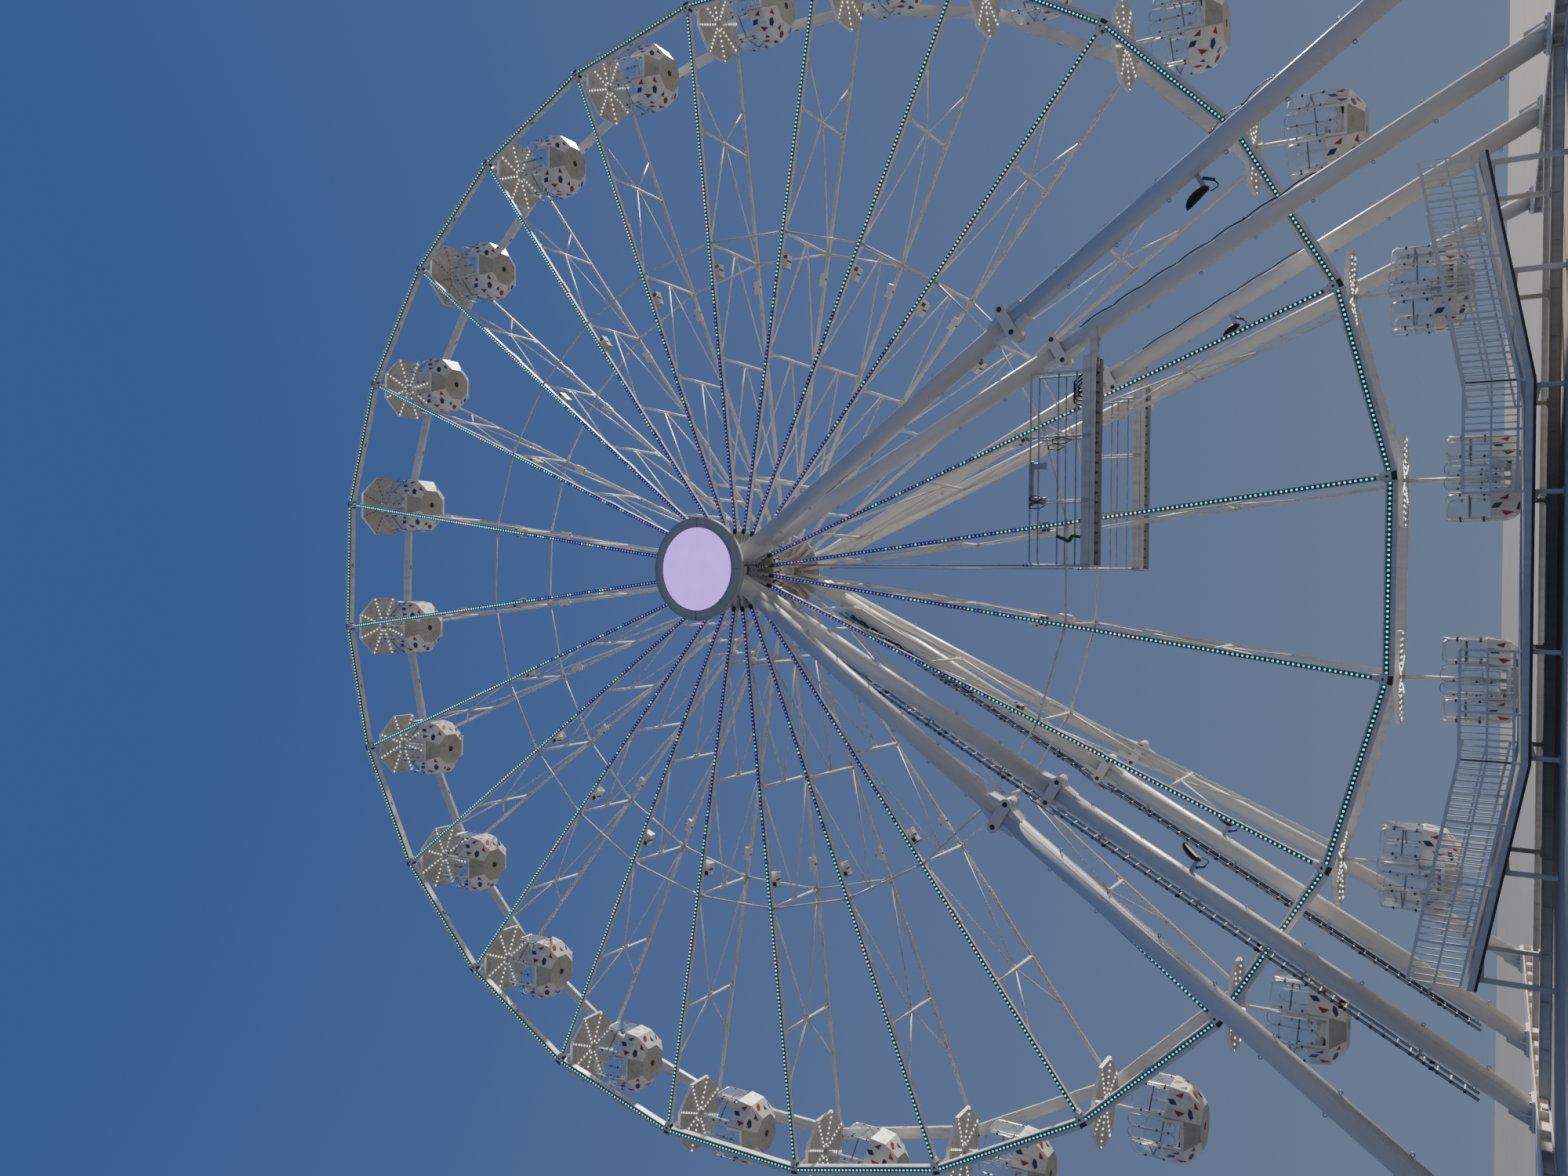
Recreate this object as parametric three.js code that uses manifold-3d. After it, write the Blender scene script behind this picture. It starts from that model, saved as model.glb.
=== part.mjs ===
// A large ferris wheel: a polygonal double rim on flat spoke trusses, with round open cabins that hang from it.
// It stands on eight raked tubular legs. Millimetres, +Z up, the axle along Y, the front towards -Y.
import * as THREE from "three";
import { mergeVertices } from "three/addons/utils/BufferGeometryUtils.js";
import Module from "manifold-3d";

const wasm = await Module();
wasm.setup();

// Wheel: hub height, number of spokes, and the turn that puts two cabins level with each other at the top.
const HUB_Z = 20400;
const SPOKES = 24;
const STEP = (2 * Math.PI) / SPOKES;
const WHEEL_TURN = THREE.MathUtils.degToRad(7.83);
const GAP = 0.3;

// Rims: polygons with a corner at each spoke.
const RIM = { r: 17500, height: 320, frontY: -1420, frontDepth: 200, rearY: 1340, rearDepth: 120 };

// Spoke truss: radii of its rungs, depths of its two chords, and half thicknesses of its members.
const RUNGS = { hub: 2820, inner: 6460, ring: 10000, outer: 13590 };
const BRACE_END_R = 15090;
const CHORD = { frontY: -1395, rearY: 1340, frontHalf: 70, rearHalf: 45 };
const RUNG_HALF = 40;
const BRACE_HALF = 27;
const SPOKE_THICKNESS = 110;
const TIE_SIDE = 58;
const SPOKE_GROUPS = 8;

// Hub: two flanges on a drum, and a shaft that runs through both bearing heads.
const HUB = { flangeR: 1150, flangeHalf: 60, drumR: 450, shaftR: 190, shaftEndY: 2560 };

// Cabin, with heights from its pivot and widths across the flats of its eight sides.
const PIVOT_R = 17450;
const CABIN_SIDES = 8;
const CANOPY = { flat: 1065, low: -205, high: -105 };
const TUB = { bottom: -2690, floor: -2600, crease: -2350, top: -1900, glassTop: -1080 };
const TUB_FLATS = { bottom: 500, crease: 900, top: 965, glassTop: 900 };
const TUB_WALL = 45;
const DOOR = { width: 620, sill: -2300 };
const CABIN_POLE_R = 50;
const CABIN_AXLE_R = 55;
const HANGER = { halfWidth: 130, halfDepth: 170, top: 70 };

// Legs: round tubes that aim at the hub axis, bolted together at mid length.
const HEAD_Y = 2200;
const FOOT = { x: 11200, outerY: 9700, innerY: 2300 };
const LEG_R = { outer: 220, inner: 235 };
const LEG_SIDES = 8;
const STUB_LENGTH = 1850;
const LEG_JOINT = { share: 0.4885, link: [260, 860, 580], neck: [760, 600, 380] };
const FOOT_PLATE = { side: 640, thick: 60 };

// Bearing heads, and the round display held in front of the hub.
const HEAD = { width: 900, depth: 800, height: 1000, boreR: 191.9 };
const DISPLAY = { r: 1460, frontY: -3680, backY: -3460, armSide: 420, plateSide: 760, plateThick: 60 };

// Ground frame.
const BEAM = { width: 700, height: 250, halfLength: 9950 };
const CROSS_BEAM = { y: 2300, width: 260, height: 200 };

// Boarding platform with a ramp at each end.
const DECK = { innerY: -1140, outerY: -5000, flatX: 3600, endX: 8000, flatZ: 620, endZ: 1450, slab: 120 };
const DECK_POST = { side: 100, xs: [1500, 3500, 5700, 7800], ys: [-CROSS_BEAM.y, -4800] };
const GUARD = { height: 1050, middle: 560, side: 50, inset: 40, gateX: 1500 };

// Walkways held by the right inner legs, and the ropes that hang their inner ends.
const WALKWAY = { startX: 120, endX: 5250, nearY: 2050, farY: 2700, low: 9400, plate: 330, plateThick: 40 };
const WALKWAY_RAIL = { endX: 4900, top: 1640, middle: 920, side: 45, posts: 4 };
const ROPE = { r: 14, sides: 6, nearY: 2180, farY: 2460 };

// Ladders on the outer side of the left inner legs, each parted at the leg's joint, with rails that pass over it.
const LADDER = { out: 380, width: 440, stile: 60, thick: 40, rung: 35, pitch: 290, low: 1200, high: 21300 };
const LADDER_BRACKET = { count: 4, length: 60, halfWidth: 150, start: 150 };
const LADDER_PASS = { gap: 230, reach: 330, side: 40, out: 495 };

const COLOURS = {
  steel: { color: 0xe6e5df, roughness: 0.45, metalness: 0.1 },
  cabin: { color: 0xecebe4, roughness: 0.35, metalness: 0 },
  display: { color: 0x47505f, roughness: 0.5, metalness: 0.1 },
  aluminium: { color: 0xb9bab8, roughness: 0.5, metalness: 0.8 },
  rope: { color: 0x8d8f92, roughness: 0.5, metalness: 0.7 },
};

// Closed solid of a geometry, with its shared corners merged.
function solid(geometry) {
  const plain = geometry.clone();
  plain.deleteAttribute("normal");
  plain.deleteAttribute("uv");
  const merged = mergeVertices(plain, 1e-3);
  const vertProperties = merged.attributes.position.array;
  const triVerts = new Uint32Array(merged.index.array);
  return new wasm.Manifold(new wasm.Mesh({ numProp: 3, vertProperties, triVerts }));
}

function join(bodies) {
  return bodies.reduce((whole, body) => whole.add(body));
}

function toGeometry(body) {
  const mesh = body.getMesh();
  const positions = new Float32Array(mesh.numVert * 3);
  for (let i = 0; i < mesh.numVert; i++) {
    positions.set(mesh.vertProperties.subarray(i * mesh.numProp, i * mesh.numProp + 3), i * 3);
  }
  const geometry = new THREE.BufferGeometry();
  geometry.setAttribute("position", new THREE.BufferAttribute(positions, 3));
  geometry.setIndex(new THREE.BufferAttribute(mesh.triVerts, 1));
  geometry.computeVertexNormals();
  return geometry;
}

function addNode(parent, name, body, colour) {
  const mesh = new THREE.Mesh(toGeometry(body), new THREE.MeshStandardMaterial(COLOURS[colour]));
  mesh.name = name;
  parent.add(mesh);
  return mesh;
}

// Box between two opposite corners, given in any order.
function box(one, other) {
  const size = one.map((value, axis) => Math.abs(other[axis] - value));
  const centre = one.map((value, axis) => (other[axis] + value) / 2);
  const geometry = new THREE.BoxGeometry(...size);
  geometry.translate(...centre);
  return solid(geometry);
}

// Straight member between two points, made from a geometry that stands along its own Y axis.
function member(geometry, from, to) {
  const along = to.clone().sub(from).normalize();
  geometry.applyQuaternion(new THREE.Quaternion().setFromUnitVectors(new THREE.Vector3(0, 1, 0), along));
  geometry.translate(...from.clone().add(to).multiplyScalar(0.5).toArray());
  return solid(geometry);
}

function bar(from, to, width, depth = width) {
  return member(new THREE.BoxGeometry(width, from.distanceTo(to), depth), from, to);
}

function tube(from, to, radius, sides) {
  return member(new THREE.CylinderGeometry(radius, radius, from.distanceTo(to), sides), from, to);
}

// Solid turned about a line along Y from a closed profile of radius and depth pairs, its corners at a start angle.
function turned(profile, segments, startAngle, axisZ = 0) {
  const points = profile.map(([radius, depth]) => new THREE.Vector2(radius, depth));
  return solid(new THREE.LatheGeometry(points, segments, startAngle).translate(0, 0, axisZ));
}

// Meeting point of two lines, each a point and a direction.
function crossing(first, second) {
  const [ax, ay] = first.along;
  const [bx, by] = second.along;
  const dx = second.point[0] - first.point[0];
  const dy = second.point[1] - first.point[1];
  const share = (dx * by - dy * bx) / (ax * by - ay * bx);
  return [first.point[0] + ax * share, first.point[1] + ay * share];
}

// Anticlockwise polygon with each side moved inwards by its own distance.
function inset(corners, distances) {
  const sides = corners.map((corner, i) => {
    const next = corners[(i + 1) % corners.length];
    const along = [next[0] - corner[0], next[1] - corner[1]];
    const length = Math.hypot(...along);
    const point = [
      corner[0] - (along[1] / length) * distances[i],
      corner[1] + (along[0] / length) * distances[i],
    ];
    return { point, along };
  });
  return sides.map((side, i) => crossing(sides[(i + sides.length - 1) % sides.length], side));
}

// The three clear triangles of a truss bay whose two braces meet in the middle of its outer rung.
function bayCells(from, to) {
  const middleY = (CHORD.frontY + CHORD.rearY) / 2;
  const front = [[from, CHORD.frontY], [to, CHORD.frontY]];
  const rear = [[from, CHORD.rearY], [to, CHORD.rearY]];
  const middle = [to, middleY];
  return [
    inset([front[0], front[1], middle], [CHORD.frontHalf, RUNG_HALF, BRACE_HALF]),
    inset([front[0], middle, rear[0]], [BRACE_HALF, BRACE_HALF, RUNG_HALF]),
    inset([middle, rear[1], rear[0]], [RUNG_HALF, CHORD.rearHalf, BRACE_HALF]),
  ];
}

// Flat plate of a thickness with the given corners, centred on the plane they lie in.
function plate(corners, thickness) {
  const shape = new THREE.Shape(corners.map(([x, y]) => new THREE.Vector2(x, y)));
  const geometry = new THREE.ExtrudeGeometry(shape, { depth: thickness, bevelEnabled: false });
  geometry.translate(0, 0, -thickness / 2);
  return solid(geometry);
}

// Spoke truss in its own plane: radius first, depth along the axle second.
function spokeTruss() {
  const start = HUB.flangeR + GAP;
  const end = RIM.r - RIM.height / 2 - (SPOKE_THICKNESS / 2) * Math.tan(STEP / 2) - GAP;
  const { frontY, rearY, frontHalf, rearHalf } = CHORD;
  const middle = [RUNGS.outer, (frontY + rearY) / 2];
  const braceFront = [BRACE_END_R, frontY];
  const braceRear = [BRACE_END_R, rearY];
  const openEnd = inset(
    [middle, braceFront, [end, frontY], [end, rearY], braceRear],
    [BRACE_HALF, frontHalf, 0, rearHalf, BRACE_HALF],
  );
  const openStart = inset(
    [[start, frontY], [RUNGS.hub, frontY], [RUNGS.hub, rearY], [start, rearY]],
    [frontHalf, RUNG_HALF, rearHalf, 0],
  );
  const outline = [
    [start, frontY - frontHalf],
    [end, frontY - frontHalf],
    openEnd[2],
    openEnd[1],
    openEnd[0],
    openEnd[4],
    openEnd[3],
    [end, rearY + rearHalf],
    [start, rearY + rearHalf],
    openStart[3],
    openStart[2],
    openStart[1],
    openStart[0],
  ];
  const cells = [
    ...bayCells(RUNGS.hub, RUNGS.inner),
    ...bayCells(RUNGS.inner, RUNGS.ring),
    ...bayCells(RUNGS.ring, RUNGS.outer),
    inset([[RUNGS.outer, frontY], braceFront, middle], [frontHalf, BRACE_HALF, RUNG_HALF]),
    inset([middle, braceRear, [RUNGS.outer, rearY]], [BRACE_HALF, rearHalf, RUNG_HALF]),
  ];
  const cuts = join(cells.map((cell) => plate(cell, 2 * SPOKE_THICKNESS)));
  return toGeometry(plate(outline, SPOKE_THICKNESS).subtract(cuts));
}

const trussGeometry = spokeTruss();

function spoke(angle) {
  return solid(trussGeometry.clone().rotateY(angle - Math.PI / 2));
}

// Point of the wheel at a radius, an angle from the top towards +X, and a depth along the axle.
function wheelPoint(radius, angle, y) {
  return new THREE.Vector3(radius * Math.sin(angle), y, radius * Math.cos(angle));
}

// Ties from one spoke to the next at the ring, in front and behind.
function ringTies(angle) {
  return [CHORD.frontY, CHORD.rearY].map((y) => {
    const reach = RUNGS.ring;
    return bar(wheelPoint(reach, angle, y), wheelPoint(reach, angle + STEP, y), TIE_SIDE);
  });
}

// Neighbouring spokes and their ties, clear of the first spoke of the next group.
function spokeGroup(index) {
  const count = SPOKES / SPOKE_GROUPS;
  const bodies = [];
  for (let i = 0; i < count; i++) {
    const angle = (index * count + i) * STEP;
    bodies.push(spoke(angle), ...ringTies(angle));
  }
  const nextAngle = (index + 1) * count * STEP;
  const thickness = SPOKE_THICKNESS + 2 * GAP;
  const clearance = new THREE.BoxGeometry(thickness, 2 * HEAD_Y, RIM.r);
  clearance.translate(0, 0, RIM.r / 2);
  clearance.rotateY(nextAngle);
  return join(bodies).subtract(solid(clearance));
}

function rim(centreY, depth) {
  const inner = RIM.r - RIM.height / 2;
  const outer = RIM.r + RIM.height / 2;
  const low = centreY - depth / 2;
  const high = centreY + depth / 2;
  const profile = [[inner, low], [outer, low], [outer, high], [inner, high], [inner, low]];
  return turned(profile, SPOKES, 0);
}

// Drum, flanges and shaft in one; each spoke meets a flat of the flanges.
function hubDrum() {
  const toCorner = 1 / Math.cos(STEP / 2);
  const flange = HUB.flangeR * toCorner;
  const front = [CHORD.frontY - HUB.flangeHalf, CHORD.frontY + HUB.flangeHalf];
  const rear = [CHORD.rearY - HUB.flangeHalf, CHORD.rearY + HUB.flangeHalf];
  const profile = [
    [0, -HUB.shaftEndY],
    [HUB.shaftR, -HUB.shaftEndY],
    [HUB.shaftR, front[0]],
    [flange, front[0]],
    [flange, front[1]],
    [HUB.drumR, front[1]],
    [HUB.drumR, rear[0]],
    [flange, rear[0]],
    [flange, rear[1]],
    [HUB.shaftR, rear[1]],
    [HUB.shaftR, HUB.shaftEndY],
    [0, HUB.shaftEndY],
  ];
  return turned(profile, SPOKES, STEP / 2);
}

// Eight-sided solid about the cabin's upright axis, from widths across the flats and heights.
function octagonal(profile) {
  const toCorner = 1 / Math.cos(Math.PI / CABIN_SIDES);
  const points = profile.map(([flat, height]) => new THREE.Vector2(flat * toCorner, height));
  const geometry = new THREE.LatheGeometry(points, CABIN_SIDES, Math.PI / CABIN_SIDES);
  geometry.rotateX(Math.PI / 2);
  return solid(geometry);
}

function tubShell() {
  const outer = [
    [0, TUB.bottom],
    [TUB_FLATS.bottom, TUB.bottom],
    [TUB_FLATS.crease, TUB.crease],
    [TUB_FLATS.top, TUB.top],
    [TUB_FLATS.glassTop, TUB.glassTop],
  ];
  const inner = [
    [TUB_FLATS.glassTop - TUB_WALL, TUB.glassTop],
    [TUB_FLATS.crease - TUB_WALL, TUB.crease],
    [TUB_FLATS.bottom, TUB.floor],
    [0, TUB.floor],
  ];
  const shell = octagonal([...outer, ...inner]);
  const reach = CANOPY.flat;
  const doorway = box([-DOOR.width / 2, -reach, DOOR.sill], [DOOR.width / 2, reach, CANOPY.low]);
  return shell.subtract(doorway);
}

function canopy() {
  return octagonal([
    [0, CANOPY.low],
    [CANOPY.flat, CANOPY.low],
    [CANOPY.flat, CANOPY.high],
    [0, CANOPY.high],
  ]);
}

// Cabin about its pivot: tub with glass belt, pole, canopy, and the hanger on its axle.
function cabin() {
  const axleFront = RIM.frontY + RIM.frontDepth / 2 + GAP;
  const axleRear = RIM.rearY - RIM.rearDepth / 2 - GAP;
  const axle = tube(new THREE.Vector3(0, axleFront, 0), new THREE.Vector3(0, axleRear, 0), CABIN_AXLE_R, 6);
  const canopyMiddle = (CANOPY.low + CANOPY.high) / 2;
  const poleFoot = [-CABIN_POLE_R, -CABIN_POLE_R, (TUB.bottom + TUB.floor) / 2];
  const pole = box(poleFoot, [CABIN_POLE_R, CABIN_POLE_R, canopyMiddle]);
  const { halfWidth, halfDepth, top } = HANGER;
  const hanger = box([-halfWidth, -halfDepth, canopyMiddle], [halfWidth, halfDepth, top]);
  return join([tubShell(), pole, canopy(), hanger, axle]);
}

// Ends of a leg's axis, for a side of the wheel (front -1, rear 1) and a side of the stand (left -1, right 1).
function legLine(depthSide, xSide, place) {
  const footY = FOOT[place + "Y"];
  const top = new THREE.Vector3(0, depthSide * HEAD_Y, HUB_Z);
  const foot = new THREE.Vector3(xSide * FOOT.x, depthSide * footY, 0);
  return { top, foot, at: (share) => top.clone().lerp(foot, share) };
}

function stub(depthSide, xSide, place, grow = 0) {
  const line = legLine(depthSide, xSide, place);
  const share = (STUB_LENGTH + grow) / line.top.distanceTo(line.foot);
  return tube(line.top, line.at(share), LEG_R[place] + grow, LEG_SIDES);
}

// Bearing head: a block on the hub axis with the upper ends of its four legs.
function head(depthSide, grow = 0) {
  const half = [HEAD.width / 2 + grow, HEAD.depth / 2 + grow, HEAD.height / 2 + grow];
  const centre = [0, depthSide * HEAD_Y, HUB_Z];
  const block = box(
    centre.map((value, axis) => value - half[axis]),
    centre.map((value, axis) => value + half[axis]),
  );
  const stubs = [-1, 1].flatMap((xSide) => [
    stub(depthSide, xSide, "inner", grow),
    stub(depthSide, xSide, "outer", grow),
  ]);
  return join([block, ...stubs]);
}

// Head with the hole for the shaft, whose flats face the shaft's corners.
function boredHead(depthSide) {
  const reach = HEAD_Y + HEAD.depth;
  const hole = [[0, -reach], [HEAD.boreR, -reach], [HEAD.boreR, reach], [0, reach]];
  return head(depthSide).subtract(turned(hole, SPOKES, WHEEL_TURN, HUB_Z));
}

// Block about a point of a leg, sized along the leg, across it and along the axle.
function jointBlock(centre, along, sizes) {
  const across = new THREE.Vector3(-along.z, 0, along.x).normalize();
  const placing = new THREE.Matrix4().makeBasis(along, across, new THREE.Vector3(0, -1, 0)).setPosition(centre);
  return solid(new THREE.BoxGeometry(...sizes).applyMatrix4(placing));
}

// Joint of a leg: a level pair of links on a wider neck of the tube.
function legJoint(line) {
  const centre = line.at(LEG_JOINT.share);
  const along = line.foot.clone().sub(line.top).normalize();
  const level = new THREE.Vector3(along.x, 0, along.z).normalize();
  return jointBlock(centre, level, LEG_JOINT.link).add(jointBlock(centre, along, LEG_JOINT.neck));
}

// Leg from its stub to its foot plate on the ground beam, with the bolted joint at mid length.
function leg(depthSide, xSide, place) {
  const line = legLine(depthSide, xSide, place);
  const startShare = (STUB_LENGTH + GAP) / line.top.distanceTo(line.foot);
  const shaft = tube(line.at(startShare), line.foot, LEG_R[place], LEG_SIDES);
  const plateLow = BEAM.height + GAP;
  const centre = line.at(1 - plateLow / HUB_Z);
  const side = FOOT_PLATE.side / 2;
  const plate = box(
    [centre.x - side, centre.y - side, plateLow],
    [centre.x + side, centre.y + side, plateLow + FOOT_PLATE.thick],
  );
  const reach = FOOT.x + FOOT.outerY;
  const ground = box([-reach, -reach, -reach], [reach, reach, plateLow]);
  return join([shaft, legJoint(line), plate]).subtract(ground);
}

function legName(depthSide, xSide, place) {
  return ["leg", depthSide < 0 ? "front" : "rear", xSide < 0 ? "left" : "right", place].join("_");
}

// Round display on an arm with a back plate that is bolted to the front head.
function display() {
  const front = new THREE.Vector3(0, DISPLAY.frontY, HUB_Z);
  const back = new THREE.Vector3(0, DISPLAY.backY, HUB_Z);
  const disc = tube(front, back, DISPLAY.r, 32);
  const headFace = -HEAD_Y - HEAD.depth / 2 - GAP;
  const arm = DISPLAY.armSide / 2;
  const plate = DISPLAY.plateSide / 2;
  const plateFace = headFace - DISPLAY.plateThick;
  const armBody = box([-arm, DISPLAY.backY, HUB_Z - arm], [arm, headFace, HUB_Z + arm]);
  const plateBody = box([-plate, plateFace, HUB_Z - plate], [plate, headFace, HUB_Z + plate]);
  return join([disc, armBody, plateBody]).subtract(head(-1, GAP));
}

function groundBeam(xSide) {
  const centreX = xSide * FOOT.x * (1 - BEAM.height / HUB_Z);
  const half = BEAM.width / 2;
  return box([centreX - half, -BEAM.halfLength, 0], [centreX + half, BEAM.halfLength, BEAM.height]);
}

function crossBeam(depthSide) {
  const reach = FOOT.x * (1 - BEAM.height / HUB_Z) - BEAM.width / 2 - GAP;
  const y = depthSide * CROSS_BEAM.y;
  const half = CROSS_BEAM.width / 2;
  return box([-reach, y - half, 0], [reach, y + half, CROSS_BEAM.height]);
}

// Height of the platform's walking surface at a distance from the middle.
function deckZ(x) {
  const share = Math.max(0, (Math.abs(x) - DECK.flatX) / (DECK.endX - DECK.flatX));
  return DECK.flatZ + share * (DECK.endZ - DECK.flatZ);
}

function deckSlab() {
  const stations = [-DECK.endX, -DECK.flatX, DECK.flatX, DECK.endX];
  const upper = stations.map((x) => new THREE.Vector2(x, deckZ(x)));
  const lower = stations.map((x) => new THREE.Vector2(x, deckZ(x) - DECK.slab)).reverse();
  const shape = new THREE.Shape([...upper, ...lower]);
  const geometry = new THREE.ExtrudeGeometry(shape, { depth: DECK.innerY - DECK.outerY, bevelEnabled: false });
  geometry.rotateX(Math.PI / 2);
  geometry.translate(0, DECK.innerY, 0);
  return solid(geometry);
}

// Guard of one edge of the platform on one side of the middle: a flat frame with a top and a middle rail.
function guard(xSide, y, startX) {
  const { height, middle, side, inset: end } = GUARD;
  const half = side / 2;
  const stations = [startX, DECK.flatX, (DECK.flatX + DECK.endX) / 2, DECK.endX - end];
  const xs = stations.slice(startX === DECK.flatX ? 1 : 0);
  const at = (x, up) => [x, deckZ(x) + up];
  const outline = [
    ...xs.map((x) => at(x, -DECK.slab / 2)),
    ...xs.map((x) => at(x, height)).reverse(),
  ];
  const bayCell = (left, right, low, high) => [at(left, low), at(right, low), at(right, high), at(left, high)];
  const cells = xs.slice(1).flatMap((x, i) => [
    bayCell(xs[i] + (i ? half : side), x - (i === xs.length - 2 ? side : half), 0, middle - half),
    bayCell(xs[i] + (i ? half : side), x - (i === xs.length - 2 ? side : half), middle + half, height - side),
  ]);
  const cuts = join(cells.map((cell) => plate(cell, 2 * side)));
  const geometry = toGeometry(plate(outline, side).subtract(cuts));
  geometry.rotateX(Math.PI / 2);
  if (xSide < 0) {
    geometry.rotateZ(Math.PI);
  }
  geometry.translate(0, y, 0);
  return solid(geometry);
}

function deck() {
  const posts = [-1, 1].flatMap((xSide) =>
    DECK_POST.xs.flatMap((x) =>
      DECK_POST.ys.map((y) => {
        const half = DECK_POST.side / 2;
        const foot = y === -CROSS_BEAM.y ? CROSS_BEAM.height + GAP : 0;
        const low = [xSide * x - half, y - half, foot];
        return box(low, [xSide * x + half, y + half, deckZ(x) - DECK.slab / 2]);
      }),
    ),
  );
  const guards = [-1, 1].flatMap((xSide) => [
    guard(xSide, DECK.outerY + GUARD.inset, GUARD.gateX),
    guard(xSide, DECK.innerY - GUARD.inset, DECK.flatX),
  ]);
  return join([deckSlab(), ...posts, ...guards]);
}

// Side of a walkway: its deck plate with posts and two rails above it.
function walkwaySide(y) {
  const { startX, endX, low, plate: deckHeight, plateThick } = WALKWAY;
  const { endX: railEnd, top, middle, side, posts } = WALKWAY_RAIL;
  const half = side / 2;
  const deckTop = low + deckHeight;
  const outline = [[startX, low], [endX, low], [endX, deckTop], [railEnd, deckTop], [railEnd, low + top]];
  outline.push([startX, low + top]);
  const spacing = (railEnd - startX - side) / (posts - 1);
  const cells = [];
  for (let i = 1; i < posts; i++) {
    const left = startX + (i - 1) * spacing + side;
    const right = left + spacing - side;
    const levels = [[deckTop, low + middle - half], [low + middle + half, low + top - side]];
    levels.forEach(([from, to]) => cells.push([[left, from], [right, from], [right, to], [left, to]]));
  }
  const cuts = join(cells.map((cell) => plate(cell, 2 * plateThick)));
  const geometry = toGeometry(plate(outline, plateThick).subtract(cuts));
  geometry.rotateX(Math.PI / 2);
  geometry.translate(0, y, 0);
  return solid(geometry);
}

// Walkway between the middle and the right inner leg, with a beam to the leg.
function walkway(depthSide) {
  const { startX, endX, nearY, farY, low, plate: deckHeight, plateThick } = WALKWAY;
  const top = low + deckHeight;
  const side = (y) => depthSide * y;
  const sides = [nearY + plateThick / 2, farY - plateThick / 2].map((y) => walkwaySide(side(y)));
  const floorStart = [startX, side(nearY + plateThick / 2), top - 2 * plateThick];
  const floor = box(floorStart, [endX, side(farY - plateThick / 2), top - plateThick]);
  const beamY = (nearY + farY) / 2 - plateThick;
  const beam = box(
    [endX - deckHeight, side(beamY - plateThick), low + plateThick],
    [FOOT.x * (1 - top / HUB_Z), side(beamY + plateThick), top - 1.5 * plateThick],
  );
  const endPlate = box(
    [endX - plateThick, side(nearY + plateThick / 2), low + plateThick],
    [endX, side(farY - plateThick / 2), top - 1.5 * plateThick],
  );
  const railTop = low + WALKWAY_RAIL.top;
  const hangingBar = box(
    [startX, side(nearY + plateThick / 2), railTop - WALKWAY_RAIL.side],
    [startX + WALKWAY_RAIL.side, side(farY - plateThick / 2), railTop],
  );
  const line = legLine(depthSide, 1, "inner");
  const around = tube(line.top, line.foot, LEG_R.inner + GAP, LEG_SIDES);
  return join([...sides, floor, beam, endPlate, hangingBar]).subtract(around);
}

// Rope from the bearing head down to the bar across the end of the walkway.
function hangingRope(depthSide, y) {
  const x = WALKWAY.startX + WALKWAY_RAIL.side / 2;
  const low = new THREE.Vector3(x, depthSide * y, WALKWAY.low + WALKWAY_RAIL.top + GAP);
  const high = new THREE.Vector3(x, depthSide * y, HUB_Z);
  return tube(low, high, ROPE.r, ROPE.sides).subtract(head(depthSide, GAP));
}

// Part of a ladder in its own frame: the first axis along the leg from its foot, the third away from it.
function ladderPart(from, to) {
  const { out, width, stile, thick, rung, pitch } = LADDER;
  const { count, length, halfWidth, start } = LADDER_BRACKET;
  const clear = width / 2 - stile;
  const rungs = Math.round((to - from) / pitch);
  const spacing = (to - from) / rungs;
  const cells = [];
  for (let i = 0; i < rungs; i++) {
    const low = from + i * spacing + rung / 2;
    cells.push(box([low, -clear, out - thick], [low + spacing - rung, clear, out + thick]));
  }
  const frame = box([from, -width / 2, out - thick / 2], [to, width / 2, out + thick / 2]).subtract(join(cells));
  const brackets = [];
  for (let i = 0; i < count; i++) {
    const middle = from + Math.round(((i + 0.5) * rungs) / count) * spacing;
    brackets.push(box([middle - length / 2, -halfWidth, start], [middle + length / 2, halfWidth, out]));
  }
  return join([frame, ...brackets]);
}

// Rail on one side of a ladder that passes over the leg's joint and holds the ladder's two parts together.
function passingRail(joint, edge) {
  const { reach, side, out } = LADDER_PASS;
  const inner = edge - Math.sign(edge) * side;
  const whole = box([joint - reach, inner, LADDER.out], [joint + reach, edge, out]);
  const opening = box([joint - reach + side, inner * 2, 0], [joint + reach - side, 0, out - side]);
  return whole.subtract(opening);
}

// Ladder on the outer side of a left inner leg.
function ladder(depthSide) {
  const line = legLine(depthSide, -1, "inner");
  const joint = (1 - LEG_JOINT.share) * line.top.distanceTo(line.foot);
  const body = join([
    ladderPart(LADDER.low, joint - LADDER_PASS.gap),
    ladderPart(joint + LADDER_PASS.gap, LADDER.high),
    passingRail(joint, LADDER.width / 2),
    passingRail(joint, -LADDER.width / 2),
  ]);
  const up = line.top.clone().sub(line.foot).normalize();
  const outwards = new THREE.Vector3(-up.z, 0, up.x).normalize();
  const placing = new THREE.Matrix4().makeBasis(up, outwards.clone().cross(up), outwards);
  const geometry = toGeometry(body).applyMatrix4(placing.setPosition(line.foot));
  const around = tube(line.top, line.foot, LEG_R.inner + GAP, LEG_SIDES);
  return solid(geometry).subtract(around);
}

const ferrisWheel = new THREE.Group();
ferrisWheel.name = "ferris_wheel";

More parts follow.
